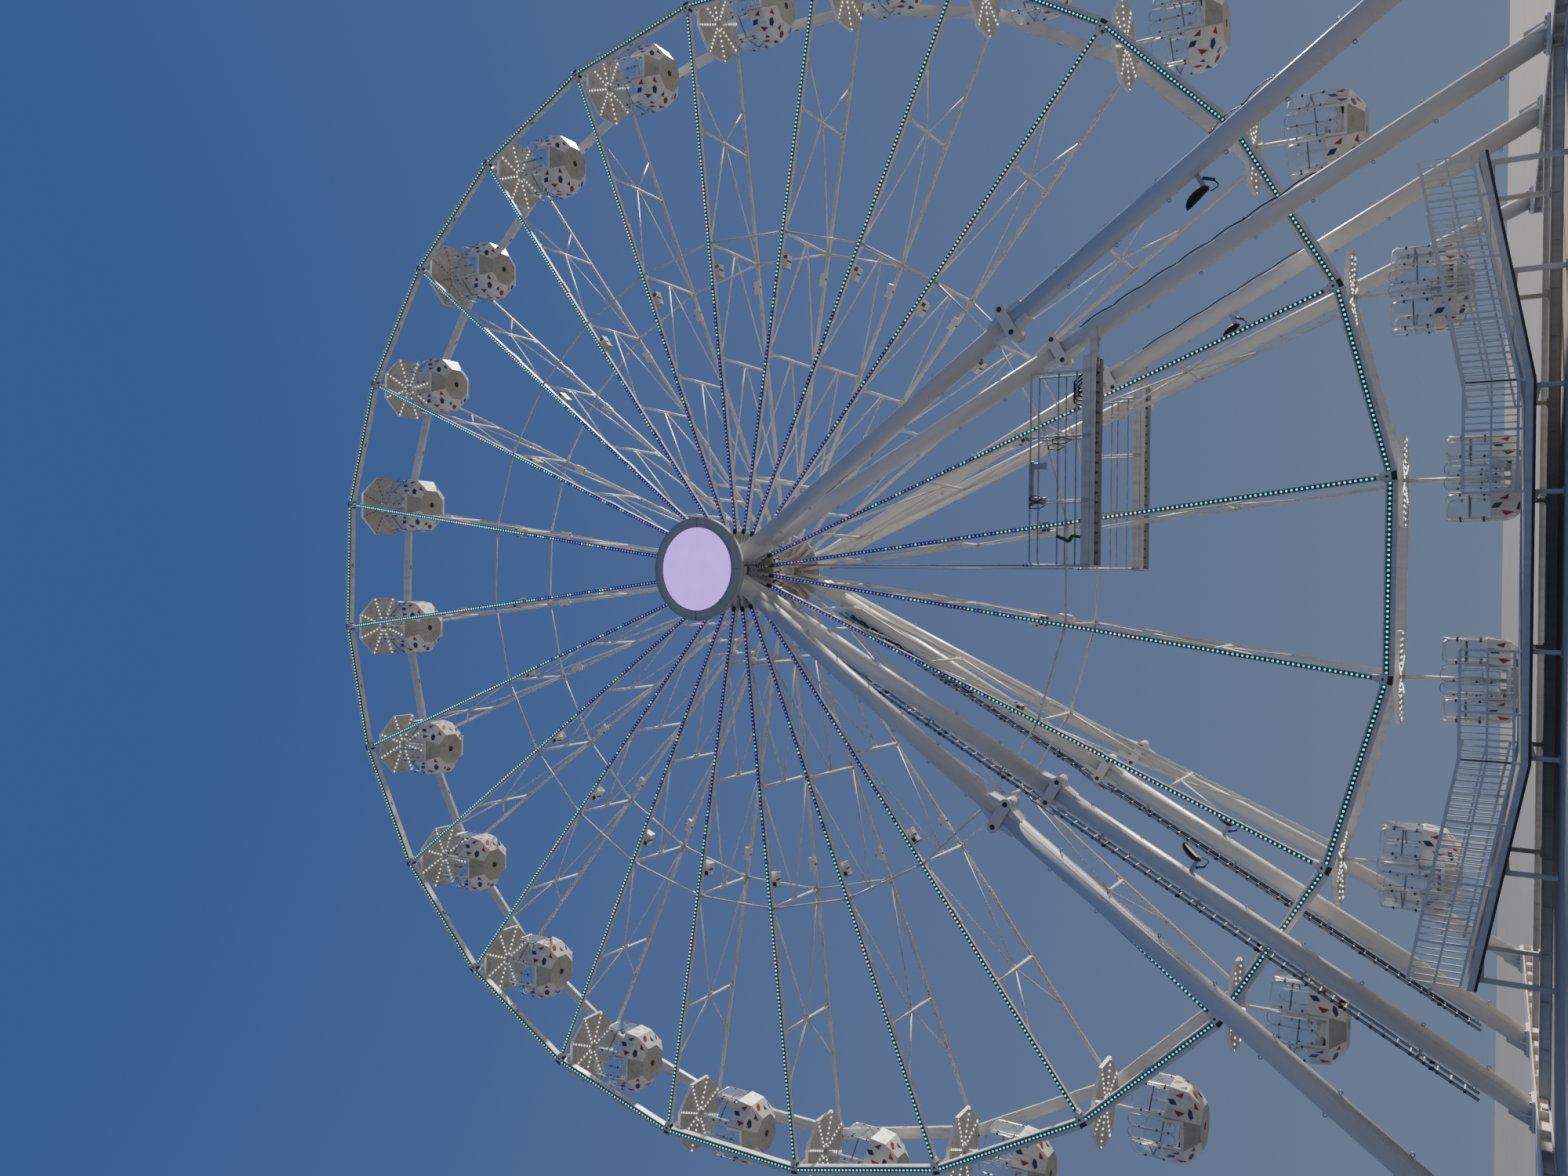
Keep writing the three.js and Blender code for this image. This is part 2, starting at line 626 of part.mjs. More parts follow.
function addWheel() {
  const wheel = new THREE.Group();
  wheel.position.set(0, 0, HUB_Z);
  wheel.rotation.y = WHEEL_TURN;
  ferrisWheel.add(wheel);
  addNode(wheel, "front_rim", rim(RIM.frontY, RIM.frontDepth), "steel");
  addNode(wheel, "rear_rim", rim(RIM.rearY, RIM.rearDepth), "steel");
  addNode(wheel, "hub_drum", hubDrum(), "steel");
  for (let i = 0; i < SPOKE_GROUPS; i++) {
    addNode(wheel, `spokes_${i + 1}`, spokeGroup(i), "steel");
  }
}

function addCabins() {
  const body = cabin();
  for (let i = 0; i < SPOKES; i++) {
    const mesh = addNode(ferrisWheel, `cabin_${String(i + 1).padStart(2, "0")}`, body, "cabin");
    const pivot = wheelPoint(PIVOT_R, WHEEL_TURN + i * STEP, 0);
    mesh.position.set(pivot.x, pivot.y, HUB_Z + pivot.z);
  }
}

function addStand() {
  addNode(ferrisWheel, "front_head", boredHead(-1), "steel");
  addNode(ferrisWheel, "rear_head", boredHead(1), "steel");
  for (const depthSide of [-1, 1]) {
    for (const xSide of [-1, 1]) {
      for (const place of ["outer", "inner"]) {
        addNode(ferrisWheel, legName(depthSide, xSide, place), leg(depthSide, xSide, place), "steel");
      }
    }
  }
  addNode(ferrisWheel, "ground_beam_left", groundBeam(-1), "steel");
  addNode(ferrisWheel, "ground_beam_right", groundBeam(1), "steel");
  addNode(ferrisWheel, "cross_beam_front", crossBeam(-1), "steel");
  addNode(ferrisWheel, "cross_beam_rear", crossBeam(1), "steel");
  addNode(ferrisWheel, "display", display(), "display");
}

function addAccess() {
  for (const depthSide of [-1, 1]) {
    const name = depthSide < 0 ? "front" : "rear";
    addNode(ferrisWheel, `walkway_${name}`, walkway(depthSide), "aluminium");
    addNode(ferrisWheel, `ladder_${name}`, ladder(depthSide), "aluminium");
    addNode(ferrisWheel, `rope_${name}_near`, hangingRope(depthSide, ROPE.nearY), "rope");
    addNode(ferrisWheel, `rope_${name}_far`, hangingRope(depthSide, ROPE.farY), "rope");
  }
  addNode(ferrisWheel, "boarding_deck", deck(), "aluminium");
}

addWheel();
addCabins();
addStand();
addAccess();

export default ferrisWheel;
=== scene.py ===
# Large ferris wheel in metres, +Z up, the front towards -Y, in the frame of the CAD model.
import math
import random
from itertools import product

import bmesh
import bpy
from mathutils import Matrix, Vector


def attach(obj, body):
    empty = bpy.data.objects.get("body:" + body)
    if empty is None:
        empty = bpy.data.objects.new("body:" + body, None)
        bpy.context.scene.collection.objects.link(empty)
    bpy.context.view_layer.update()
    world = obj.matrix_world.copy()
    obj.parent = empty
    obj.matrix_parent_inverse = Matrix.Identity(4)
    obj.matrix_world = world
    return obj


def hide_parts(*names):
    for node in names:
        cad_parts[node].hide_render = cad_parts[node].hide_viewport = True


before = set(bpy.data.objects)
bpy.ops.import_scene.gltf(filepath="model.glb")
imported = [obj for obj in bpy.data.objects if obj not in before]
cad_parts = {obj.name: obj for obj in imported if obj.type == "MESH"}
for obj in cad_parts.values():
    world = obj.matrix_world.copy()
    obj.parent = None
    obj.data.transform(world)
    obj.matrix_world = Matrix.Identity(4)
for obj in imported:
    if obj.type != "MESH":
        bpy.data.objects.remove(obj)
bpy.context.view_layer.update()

# Wheel: hub height, spokes, turn, and the polygon that its corners make.
HUB_Z = 20.4
SPOKES = 24
STEP = 2 * math.pi / SPOKES
WHEEL_TURN = math.radians(7.83)
FLAT = math.cos(STEP / 2)
RIM_LOW = 17.34
RIM_HIGH = {"front": 17.59, "rear": 17.66}
RIM_FRONT = (-1.52, -1.32)
RIM_REAR = (1.28, 1.40)
LED_ROW_R = 17.43
LED_PITCH = 0.112
LENS_R = (0.027, 0.023)

# Spoke truss: chords, rungs and braces, with radii along the spoke.
CHORD_FRONT = (-1.465, -1.325)
CHORD_REAR = (1.295, 1.385)
CHORD_HALF = {"front": 0.062, "rear": 0.045}
CHORD_START = 1.16
CHORD_END = 17.26
CHORD_SPLICES = (5.3, 11.6)
RUNG_RADII = (2.82, 6.46, 10.0, 13.59)
BRACE_END_R = 15.09
RING_R = 10.0
SPOKE_GROUPS = 8
STRIP_START = 1.22
STRIP_Y = CHORD_FRONT[0] - 0.022
FLOODLIGHT_R = 9.2
BRACE_R = 0.026

# Hub: drum between the flanges, shaft, and round plates on the flanges.
FLANGE_R = 1.15
DRUM = (-1.36, 1.30)
DRUM_R = 0.45
SHAFT_HALF = 2.56
SHAFT_R = 0.188
BOSS_R = 0.62

# Cabins: heights from the pivot, and half widths across the flats.
PIVOT_R = 17.45
CANOPY_FLAT = 1.065
CANOPY_LOW = -0.205
CANOPY_HIGH = -0.105
TUB_TOP = -1.9
TUB_CREASE = -2.35
TUB_BOTTOM = -2.69
TUB_FLOOR = -2.60
TUB_FLATS = {"bottom": 0.53, "crease": 0.9, "top": 0.965}
TUB_WALL = 0.035
RAIL_FLAT = TUB_FLATS["top"] - 0.03
MIDDLE_R = 0.0001
AXLE = (-1.315, 1.275)
AXLE_R = 0.055
UNLIT_CABINS = (1, 3)
GLASS_TOP = -1.05
MID_RAIL = -1.5
DOOR_HALF = 0.31
DOOR_SILL = -2.30
HOOP_CORNER = 0.13
LEAF_CORNER = 0.12
DOOR_FACETS = (0, 4)
CLOSED_FACETS = (1, 2, 3, 5, 6, 7)

# Cabin octagon: reach of a corner and half width of a side, for half a width across the flats of one.
TO_CORNER = 1 / math.cos(math.pi / 8)
TO_SIDE = math.tan(math.pi / 8)

# Stand: bearing heads, feet of the legs, joints.
HEAD_Y = 2.2
HEAD = (0.9, 0.8, 1.0)
HEAD_BORE_R = 0.215
FOOT_X = 11.20
FOOT_Y = {"outer": 9.7, "inner": 2.3}
LEG_R = {"outer": 0.22, "inner": 0.235}
STUB_LENGTH = 1.85
JOINT_SHARE = 0.4885
JOINT_PIN = 0.30
JOINT_END_R = 0.13
EYELET_R = 0.034
EYELET_PITCH = 1.35
BEAM_HEIGHT = 0.25
BEAM_HALF_LENGTH = 9.95
BEAM_WIDTH = 0.7
FOOT_PLATE = 0.06
CROSS_BEAM_Y = 2.3

# Cables tied to legs: shares of the leg where they begin and end, loop length, sag, radius, colour, side.
LEG_CABLES = {
    "leg_front_right_inner": [(0.52, 0.78, 0.8, 0.085, 0.018, "black_cable", 1)],
    "leg_front_right_outer": [(0.72, 0.78, 0.5, 0.14, 0.010, "black_cable", 1)],
    "leg_rear_right_inner": [(0.54, 0.74, 0.8, 0.07, 0.016, "black_cable", 1)],
    "leg_rear_left_inner": [
        (0.10, 0.30, 0.45, 0.10, 0.028, "black_cable", -1),
        (0.12, 0.27, 0.6, 0.16, 0.022, "black_cable", -1),
    ],
}

# Lamps on legs: shares of the leg, and the length of their arms.
LEG_LAMPS = {
    "leg_front_left_inner": 0.645,
    "leg_rear_left_inner": 0.64,
    "leg_rear_right_inner": 0.64,
    "leg_front_right_outer": 0.695,
}
LAMP_ARM = 0.40
LAMP_LEAN = 0.55

# Display in front of the hub.
DISC_R = 1.46
SCREEN_R = 1.17
DISC_FRONT = -3.68
DISC_BACK = -3.46

# Walkways, ladders, ropes and the boarding platform.
WALK_START = 0.12
WALK_END = 5.25
WALK_RAIL_END = 4.9
WALK_NEAR = 2.05
WALK_FAR = 2.70
WALK_LOW = 9.40
WALK_PLATE = 0.33
WALK_TOP_RAIL = 1.64
WALK_MID_RAIL = 0.92
ROPE_NEAR = 2.18
ROPE_FAR = 2.46
LADDER_OUT = 0.38
LADDER_HALF = 0.205
LADDER_LOW = 1.2
LADDER_HIGH = 21.3
LADDER_PARTING = 0.23
LADDER_BRIDGE = 0.475
RUNG_PITCH = 0.29
DECK_INNER = -1.14
DECK_OUTER = -5.0
DECK_FLAT_X = 3.6
DECK_END_X = 8.0
DECK_FLAT_Z = 0.62
DECK_END_Z = 1.45
DECK_SLAB = 0.12
DECK_POSTS_Y = (-2.3, -4.8)
GUARD_HEIGHT = 1.05
PICKET_PITCH = 0.13
GATE_X = 1.5

# Camera, from the photograph's perspective; the picture lies on its side.
CAMERA_PLACE = Vector((-0.428, -31.11, 1.12))
CAMERA_TILT = math.radians(30.86)
CAMERA_ROLL = math.radians(0.80)
CAMERA_YAW = math.radians(-0.16)
CAMERA_LENS = 27.225

# Stage: way and strength of the sunlight, its width in the sky, and the floor.
SUN_WAY = Vector((-0.674, -0.698, -0.242))
SUN_STRENGTH = 6.5
SUN_COLOUR = (1.0, 0.92, 0.79)
SUN_WIDTH = math.radians(3)
FLOOR_HALF = 160

# Directions, parts of a turn, and the materials in the order of their slots.
RIGHT = Vector((1, 0, 0))
BACK = Vector((0, 1, 0))
UP = Vector((0, 0, 1))
QUARTER = math.pi / 2
EIGHTH = math.pi / 4
PALETTE = {}


# Materials

def nodes_of(name):
    """Node tree and shader of a new material."""
    made = bpy.data.materials.new(name)
    made.use_nodes = True
    PALETTE[name] = made
    return made.node_tree, next(node for node in made.node_tree.nodes if node.type == "BSDF_PRINCIPLED")


def noise(tree, scale, stretch=(1, 1, 1), detail=4.0):
    """Noise on the object's own coordinates."""
    place = tree.nodes.new("ShaderNodeTexCoord")
    mapping = tree.nodes.new("ShaderNodeMapping")
    texture = tree.nodes.new("ShaderNodeTexNoise")
    mapping.inputs["Scale"].default_value = stretch
    texture.inputs["Scale"].default_value = scale
    texture.inputs["Detail"].default_value = detail
    tree.links.new(place.outputs["Object"], mapping.inputs["Vector"])
    tree.links.new(mapping.outputs["Vector"], texture.inputs["Vector"])
    return texture.outputs["Fac"]


def ramp(tree, source, low, high, start=0.3, end=0.7):
    """Colours between two, driven by a texture."""
    made = tree.nodes.new("ShaderNodeValToRGB")
    for stop, position, colour in zip(made.color_ramp.elements, (start, end), (low, high)):
        stop.position = position
        stop.color = (*colour, 1)
    tree.links.new(source, made.inputs["Fac"])
    return made.outputs["Color"]


def multiply(tree, first, second, share):
    """Second colour multiplied over the first."""
    made = tree.nodes.new("ShaderNodeMix")
    made.data_type = "RGBA"
    made.blend_type = "MULTIPLY"
    made.inputs[0].default_value = share
    tree.links.new(first, made.inputs[6])
    tree.links.new(second, made.inputs[7])
    return made.outputs[2]


def between(tree, source, limits):
    """Texture's value spread between two limits."""
    made = tree.nodes.new("ShaderNodeMapRange")
    made.inputs["To Min"].default_value, made.inputs["To Max"].default_value = limits
    tree.links.new(source, made.inputs["Value"])
    return made.outputs["Result"]


def relief(tree, shader, source, strength, distance):
    """Bump from a texture."""
    made = tree.nodes.new("ShaderNodeBump")
    made.inputs["Strength"].default_value = strength
    made.inputs["Distance"].default_value = distance
    tree.links.new(source, made.inputs["Height"])
    tree.links.new(made.outputs["Normal"], shader.inputs["Normal"])


def surface(name, colour, other, rough, metal=0.0, scale=1.2, streaks=0.0, bump=0.1, fine=45.0, coat=0.0):
    """Painted, metal or plastic surface with patches, rain streaks and a fine grain."""
    tree, shader = nodes_of(name)
    patches = noise(tree, scale)
    tint = ramp(tree, patches, other, colour)
    if streaks:
        runs = noise(tree, 3.0, (2.4, 2.4, 0.22), 6.0)
        tint = multiply(tree, tint, ramp(tree, runs, (0.45, 0.42, 0.37), (1, 1, 1), 0.34, 0.52), streaks)
    tree.links.new(tint, shader.inputs["Base Color"])
    tree.links.new(between(tree, patches, rough), shader.inputs["Roughness"])
    shader.inputs["Metallic"].default_value = metal
    shader.inputs["Coat Weight"].default_value = coat
    relief(tree, shader, noise(tree, fine), bump, 0.002)


def lamp(name, colour, other, strength):
    """Lit lens with a little unevenness."""
    tree, shader = nodes_of(name)
    tint = ramp(tree, noise(tree, 14.0), other, colour, 0.35, 0.6)
    tree.links.new(tint, shader.inputs["Base Color"])
    tree.links.new(tint, shader.inputs["Emission Color"])
    shader.inputs["Emission Strength"].default_value = strength
    shader.inputs["Roughness"].default_value = 0.3
    relief(tree, shader, noise(tree, 90.0), 0.05, 0.001)


def pane():
    """Clear pane with faint smears."""
    tree, shader = nodes_of("pane")
    smears = noise(tree, 2.2, (1, 1, 0.5), 5.0)
    tree.links.new(ramp(tree, smears, (0.86, 0.90, 0.92), (0.93, 0.96, 0.97)), shader.inputs["Base Color"])
    tree.links.new(between(tree, smears, (0.02, 0.18)), shader.inputs["Roughness"])
    shader.inputs["Transmission Weight"].default_value = 0.92
    shader.inputs["IOR"].default_value = 1.2


def screen():
    """Lilac lamp screen with its fine rows."""
    tree, shader = nodes_of("screen")
    place = tree.nodes.new("ShaderNodeTexCoord")
    rows = tree.nodes.new("ShaderNodeTexWave")
    rows.wave_type = "BANDS"
    rows.bands_direction = "Z"
    rows.inputs["Scale"].default_value = 7.8
    tree.links.new(place.outputs["Object"], rows.inputs["Vector"])
    lines = ramp(tree, rows.outputs["Fac"], (0.40, 0.21, 0.82), (0.52, 0.28, 1.0), 0.1, 0.5)
    blotch = ramp(tree, noise(tree, 1.6), (0.9, 0.88, 0.95), (1, 1, 1))
    tree.links.new(multiply(tree, lines, blotch, 1.0), shader.inputs["Emission Color"])
    shader.inputs["Base Color"].default_value = (0.10, 0.08, 0.12, 1)
    shader.inputs["Emission Strength"].default_value = 1.8
    shader.inputs["Roughness"].default_value = 0.5
    relief(tree, shader, rows.outputs["Fac"], 0.2, 0.004)


def make_palette():
    """All materials, in the order of their slots."""
    surface("paint", (0.76, 0.74, 0.69), (0.66, 0.64, 0.59), (0.32, 0.5), streaks=0.2, coat=0.1)
    surface("leg_paint", (0.76, 0.745, 0.7), (0.7, 0.685, 0.64), (0.3, 0.42), scale=0.4, bump=0.05, coat=0.15)
    surface("paint_clean", (0.80, 0.79, 0.76), (0.72, 0.71, 0.68), (0.28, 0.42), coat=0.2)
    surface("cream", (0.86, 0.83, 0.74), (0.78, 0.75, 0.66), (0.3, 0.45), streaks=0.25, coat=0.2)
    surface("tub", (0.78, 0.765, 0.72), (0.70, 0.685, 0.64), (0.25, 0.4), scale=0.9, streaks=0.3, coat=0.3)
    surface("tub_under", (0.46, 0.45, 0.405), (0.39, 0.38, 0.34), (0.45, 0.6), streaks=0.3)
    surface("canopy_under", (0.60, 0.585, 0.53), (0.52, 0.505, 0.455), (0.45, 0.6), streaks=0.35)
    surface("dark_steel", (0.085, 0.088, 0.095), (0.045, 0.047, 0.05), (0.4, 0.6), metal=0.3, scale=5.0)
    surface("black_cable", (0.022, 0.022, 0.023), (0.012, 0.012, 0.013), (0.45, 0.6), scale=9.0)
    surface("blue_cable", (0.03, 0.09, 0.32), (0.02, 0.06, 0.24), (0.4, 0.55), scale=9.0)
    surface("galvanised", (0.50, 0.51, 0.52), (0.36, 0.37, 0.385), (0.35, 0.55), metal=0.75, scale=7.0)
    surface(
        "aluminium", (0.66, 0.66, 0.645), (0.56, 0.56, 0.55), (0.4, 0.55), metal=0.25, scale=3, streaks=0.25,
    )
    surface("chrome", (0.72, 0.72, 0.72), (0.6, 0.6, 0.61), (0.14, 0.26), metal=1.0, scale=6.0)
    surface("rope_steel", (0.24, 0.26, 0.30), (0.16, 0.175, 0.20), (0.4, 0.6), metal=0.6, scale=12.0)
    surface("disc_ring", (0.46, 0.47, 0.48), (0.42, 0.43, 0.44), (0.6, 0.7), scale=2.5)
    surface("strip", (0.070, 0.085, 0.092), (0.050, 0.060, 0.066), (0.5, 0.65), scale=6.0)
    surface("red", (0.38, 0.03, 0.045), (0.30, 0.024, 0.036), (0.3, 0.45), scale=4.0)
    surface("navy", (0.024, 0.038, 0.17), (0.018, 0.028, 0.13), (0.3, 0.45), scale=4.0)
    surface("strap", (0.018, 0.13, 0.085), (0.012, 0.09, 0.055), (0.6, 0.8), scale=20.0, bump=0.4)
    surface("tread", (0.30, 0.30, 0.29), (0.20, 0.20, 0.195), (0.6, 0.8), scale=6.0, bump=0.5, fine=80.0)
    lamp("led_cyan", (0.08, 0.86, 1.0), (0.05, 0.74, 0.92), 2.1)
    lamp("led_white", (0.80, 0.92, 0.98), (0.66, 0.84, 0.92), 1.9)
    lamp("led_blue", (0.06, 0.07, 0.95), (0.04, 0.05, 0.80), 1.7)
    lamp("led_violet", (0.18, 0.12, 0.95), (0.14, 0.09, 0.85), 1.7)
    lamp("led_pink", (0.70, 0.22, 0.90), (0.60, 0.17, 0.84), 1.6)
    lamp("lamp_white", (1.0, 0.99, 0.95), (0.95, 0.94, 0.9), 2.2)
    surface("lamp_off", (0.20, 0.195, 0.18), (0.14, 0.135, 0.125), (0.2, 0.35), scale=20.0, coat=0.3)
    pane()
    screen()
    surface("floor", (0.44, 0.42, 0.375), (0.40, 0.38, 0.34), (0.7, 0.85), scale=0.15)


# Mesh helpers

def slot_of(name):
    return list(PALETTE).index(name)


def shade(faces, name, smooth=False):
    """Gives faces their material."""
    slot = slot_of(name)
    for face in faces:
        face.material_index = slot
        face.smooth = smooth and len(face.verts) <= 4


def faces_of(made):
    return {face for vert in made["verts"] for face in vert.link_faces}


def placed(start, end, side=BACK):
    """Frame that starts at a point, its Z along a member and its Y towards a side; and the length."""
    start, end, side = Vector(start), Vector(end), Vector(side)
    along = (end - start).normalized()
    side = side - along * side.dot(along)
    if side.length < 1e-5:
        side = along.orthogonal()
    side.normalize()
    made = Matrix((side.cross(along), side, along)).transposed().to_4x4()
    made.translation = start
    return made, (end - start).length


def soften(bm, faces, width, segments=2):
    """Rounds the edges of a block."""
    edges = list({edge for face in faces for edge in face.edges})
    bmesh.ops.bevel(
        bm, geom=edges, offset=width, offset_type="OFFSET", segments=segments, profile=0.5,
        affect="EDGES", clamp_overlap=True, material=-1,
    )


def block(bm, low, high, name, round_by=0.0, matrix=None):
    """Box between two opposite corners, in a frame."""
    low, high = Vector(low), Vector(high)
    size = Matrix.Diagonal((*(abs(value) for value in high - low), 1))
    place = (matrix or Matrix()) @ Matrix.Translation((low + high) / 2) @ size
    faces = faces_of(bmesh.ops.create_cube(bm, size=1, matrix=place))
    shade(faces, name)
    if round_by:
        soften(bm, faces, round_by)
    return faces


def post(bm, x, y, half, low, high, name, round_by=0.0):
    """Upright box about a point in plan, between two heights."""
    block(bm, (x - half[0], y - half[1], low), (x + half[0], y + half[1], high), name, round_by)


def lump(bm, place, half, name, round_by=0.0, matrix=None):
    """Box about a point, in a frame."""
    place, half = Vector(place), Vector(half)
    block(bm, place - half, place + half, name, round_by, matrix)


def beam(bm, start, end, width, depth, name, side=BACK, round_by=0.0):
    """Straight member of box section."""
    matrix, length = placed(start, end, side)
    return block(bm, (-width / 2, -depth / 2, 0), (width / 2, depth / 2, length), name, round_by, matrix)


def rod(bm, start, end, radius, name, sides=12):
    """Straight round member."""
    matrix, length = placed(start, end)
    made = bmesh.ops.create_cone(
        bm, cap_ends=True, segments=sides, radius1=radius, radius2=radius, depth=length,
        matrix=matrix @ Matrix.Translation((0, 0, length / 2)),
    )
    shade(faces_of(made), name, sides > 6)


def disc(bm, low_y, high_y, radius, name, sides=48, up=0.0):
    """Round member along Y."""
    rod(bm, (0, low_y, up), (0, high_y, up), radius, name, sides)


def bolt(bm, place, along, radius, height, name="galvanised"):
    """Hexagonal bolt head."""
    place = Vector(place)
    rod(bm, place, place + Vector(along).normalized() * height, radius, name, 6)


def pull(bm, faces, shift):
    """Extrudes faces by a shift and gives the moved corners."""
    made = bmesh.ops.extrude_face_region(bm, geom=faces)["geom"]
    moved = [item for item in made if isinstance(item, bmesh.types.BMVert)]
    bmesh.ops.translate(bm, verts=moved, vec=shift)
    return moved


def plate(bm, corners, thickness, normal, name):
    """Flat plate from its corners, made thick along its normal on both sides."""
    normal = Vector(normal).normalized()
    verts = [bm.verts.new(Vector(corner) - normal * thickness / 2) for corner in corners]
    verts += pull(bm, [bm.faces.new(verts)], normal * thickness)
    faces = list(faces_of({"verts": verts}))
    shade(faces, name)
    bmesh.ops.recalc_face_normals(bm, faces=faces)


def add_mesh(bm, mesh, matrix=None, keep=False):
    """Joins a mesh, in a frame, to the shape."""
    used = mesh.copy() if keep else mesh
    if matrix is not None:
        used.transform(matrix)
    bm.from_mesh(used)
    bpy.data.meshes.remove(used)


def wire(bm, points, radius, name, sides=1, closed=False, smooth=True):
    """Bent round bar or cable along points, from a curve with a round section."""
    curve = bpy.data.curves.new("wire", "CURVE")
    curve.dimensions = "3D"
    curve.bevel_depth = radius
    curve.bevel_resolution = sides
    curve.use_fill_caps = True
    spline = curve.splines.new("NURBS" if smooth else "POLY")
    if smooth:
        spline.order_u = 3
        spline.resolution_u = 3
        spline.use_endpoint_u = not closed
    spline.points.add(len(points) - 1)
    for point, place in zip(spline.points, points):
        point.co = (*place, 1)
    spline.use_cyclic_u = closed
    holder = bpy.data.objects.new("wire", curve)
    mesh = bpy.data.meshes.new_from_object(holder)
    bpy.data.objects.remove(holder)
    bpy.data.curves.remove(curve)
    slot = slot_of(name)
    for face in mesh.polygons:
        face.material_index = slot
        face.use_smooth = True
    add_mesh(bm, mesh)


def mesh_of(bm, name="shape"):
    """Mesh of a finished shape."""
    mesh = bpy.data.meshes.new(name)
    bm.to_mesh(mesh)
    bm.free()
    return mesh


def made_object(name, bm):
    """Object of a finished shape, with only the materials that it uses."""
    mesh = mesh_of(bm, name)
    used = sorted({face.material_index for face in mesh.polygons})
    materials = list(PALETTE.values())
    for slot in used:
        mesh.materials.append(materials[slot])
    for face in mesh.polygons:
        face.material_index = used.index(face.material_index)
    made = bpy.data.objects.new(name, mesh)
    bpy.context.scene.collection.objects.link(made)
    return made


def piece(node, bm, body, name=""):
    """Finished piece that stands for a CAD node."""
    made = made_object(name or f"{node}_detail", bm)
    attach(made, body)
    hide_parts(node)


def hoop(place, middle, half, low, high):
    """Points of an upright rounded frame on a facet, about a place across it."""
    corner = HOOP_CORNER if middle == 0 else LEAF_CORNER
    points = []
    corners = [
        (half - corner, low + corner, -90), (half - corner, high - corner, 0),
        (corner - half, high - corner, 90), (corner - half, low + corner, 180),
    ]
    for across, up, start in corners:
        for step in range(4):
            angle = math.radians(start + 30 * step)
            spot = (middle + across + corner * math.cos(angle), -RAIL_FLAT, up + corner * math.sin(angle))
            points.append(place @ Vector(spot))
    return points


def wheel_place(angle=0.0):
    """Frame of a spoke or rim side: its Z runs out from the hub at an angle from the top towards +X."""
    return Matrix.Translation((0, 0, HUB_Z)) @ Matrix.Rotation(WHEEL_TURN + angle, 4, "Y")


def around(angle):
    """Direction in the wheel's plane, at an angle from the top towards +X."""
    return Vector((math.sin(angle), 0, math.cos(angle)))


def spread(low, high, steps):
    """Even steps from one value to another, with both ends."""
    return [low + (high - low) * step / steps for step in range(steps + 1)]


# Lamps of the wheel

def lens_mesh(name, sides, depth, turn, rim):
    """Low lens with a raised middle; a turn about X points it from straight up."""
    bm = bmesh.new()
    lay = Matrix.Rotation(turn, 4, "X") @ Matrix.Translation((0, 0, depth / 2))
    made = bmesh.ops.create_cone(
        bm, cap_ends=True, segments=sides, radius1=LENS_R[0], radius2=LENS_R[1], depth=depth, matrix=lay,
    )
    shade(faces_of(made), name, True)
    tip = lay.to_3x3() @ UP
    face = max(bm.faces, key=lambda item: item.calc_center_median().dot(tip))
    bmesh.ops.inset_individual(bm, faces=[face], thickness=rim[0], depth=rim[1])
    return mesh_of(bm)


def led_row(bm, start, end, names):
    """Row of lenses from one point to another, with a list of colours to repeat."""
    start, end = Vector(start), Vector(end)
    count = int((end - start).length / LED_PITCH)
    lenses = {name: lens_mesh(name, 6, 0.016, QUARTER, (0.009, 0.008)) for name in set(names)}
    for i in range(count + 1):
        place = Matrix.Translation(start.lerp(end, i / count))
        add_mesh(bm, lenses[names[i % len(names)]], place, keep=True)
    for mesh in lenses.values():
        bpy.data.meshes.remove(mesh)


def spoke_colours(count, seed):
    """Colours from the hub outwards: blue and violet, then cyan with one pale stretch."""
    chance = random.Random(seed)
    pale = 10.6 + chance.random() * 2.2
    names = []
    for i in range(count):
        radius = STRIP_START + i * LED_PITCH
        if radius < 4.6:
            options = ["led_blue"] * 9 + ["led_violet"] * 7 + ["led_pink"]
        elif radius < 7.2:
            options = ["led_blue"] * 8 + ["led_violet"] * 4 + ["led_cyan"] * 4 + ["led_white"]
        elif radius < 8.6:
            options = ["led_cyan"] * 6 + ["led_blue"] * 3
        elif pale < radius < pale + 0.7:
            options = ["led_white"]
        elif pale - 1.2 < radius < pale + 1.8:
            options = ["led_white"] + ["led_cyan"] * 4
        else:
            options = ["led_cyan"]
        names.append(chance.choice(options))
    return names


# Rims

def rim_side(depth, high_r, front):
    """One side of a rim between two spokes, in the frame of its middle."""
    bm = bmesh.new()
    low, high = RIM_LOW * FLAT, high_r * FLAT
    half = RIM_LOW * math.sin(STEP / 2) - 0.09
    middle, thick = sum(depth) / 2, (depth[1] - depth[0]) / 2
    faces = block(bm, (-half, depth[0], low), (half, depth[1], high), "paint")
    face = min(faces, key=lambda item: item.calc_center_median().y)
    bmesh.ops.inset_individual(bm, faces=[face], thickness=0.02, depth=-0.012)
    soften(bm, list(bm.faces), 0.006, 1)
    # Dark box on the underside at the middle: painted shade standing for a slot there.
    post(bm, 0, middle, (0.07, 0.02), low - 0.003, low + 0.01, "dark_steel")
    for side in (-1, 1):
        across, end = side * half * 0.55, side * half
        post(bm, across, middle, (0.09, thick - 0.02), low - 0.008, low + 0.002, "paint_clean", 0.003)
        post(bm, end, middle, (0.01, thick + 0.004), low - 0.012, high + 0.012, "paint_clean", 0.003)
        for up in (low + 0.06, high - 0.06):
            bolt(bm, (end, middle, up), (-side, 0, 0), 0.018, 0.03)
    if front:
        row, face_y = LED_ROW_R * FLAT, depth[0] - 0.008
        reach = half - 0.02
        block(bm, (-reach, face_y, row - 0.048), (reach, depth[0] + 0.018, row + 0.048), "strip", 0.003)
        led_row(bm, (0.06 - half, face_y, row), (half - 0.06, face_y, row), ["led_cyan"])
    return mesh_of(bm)


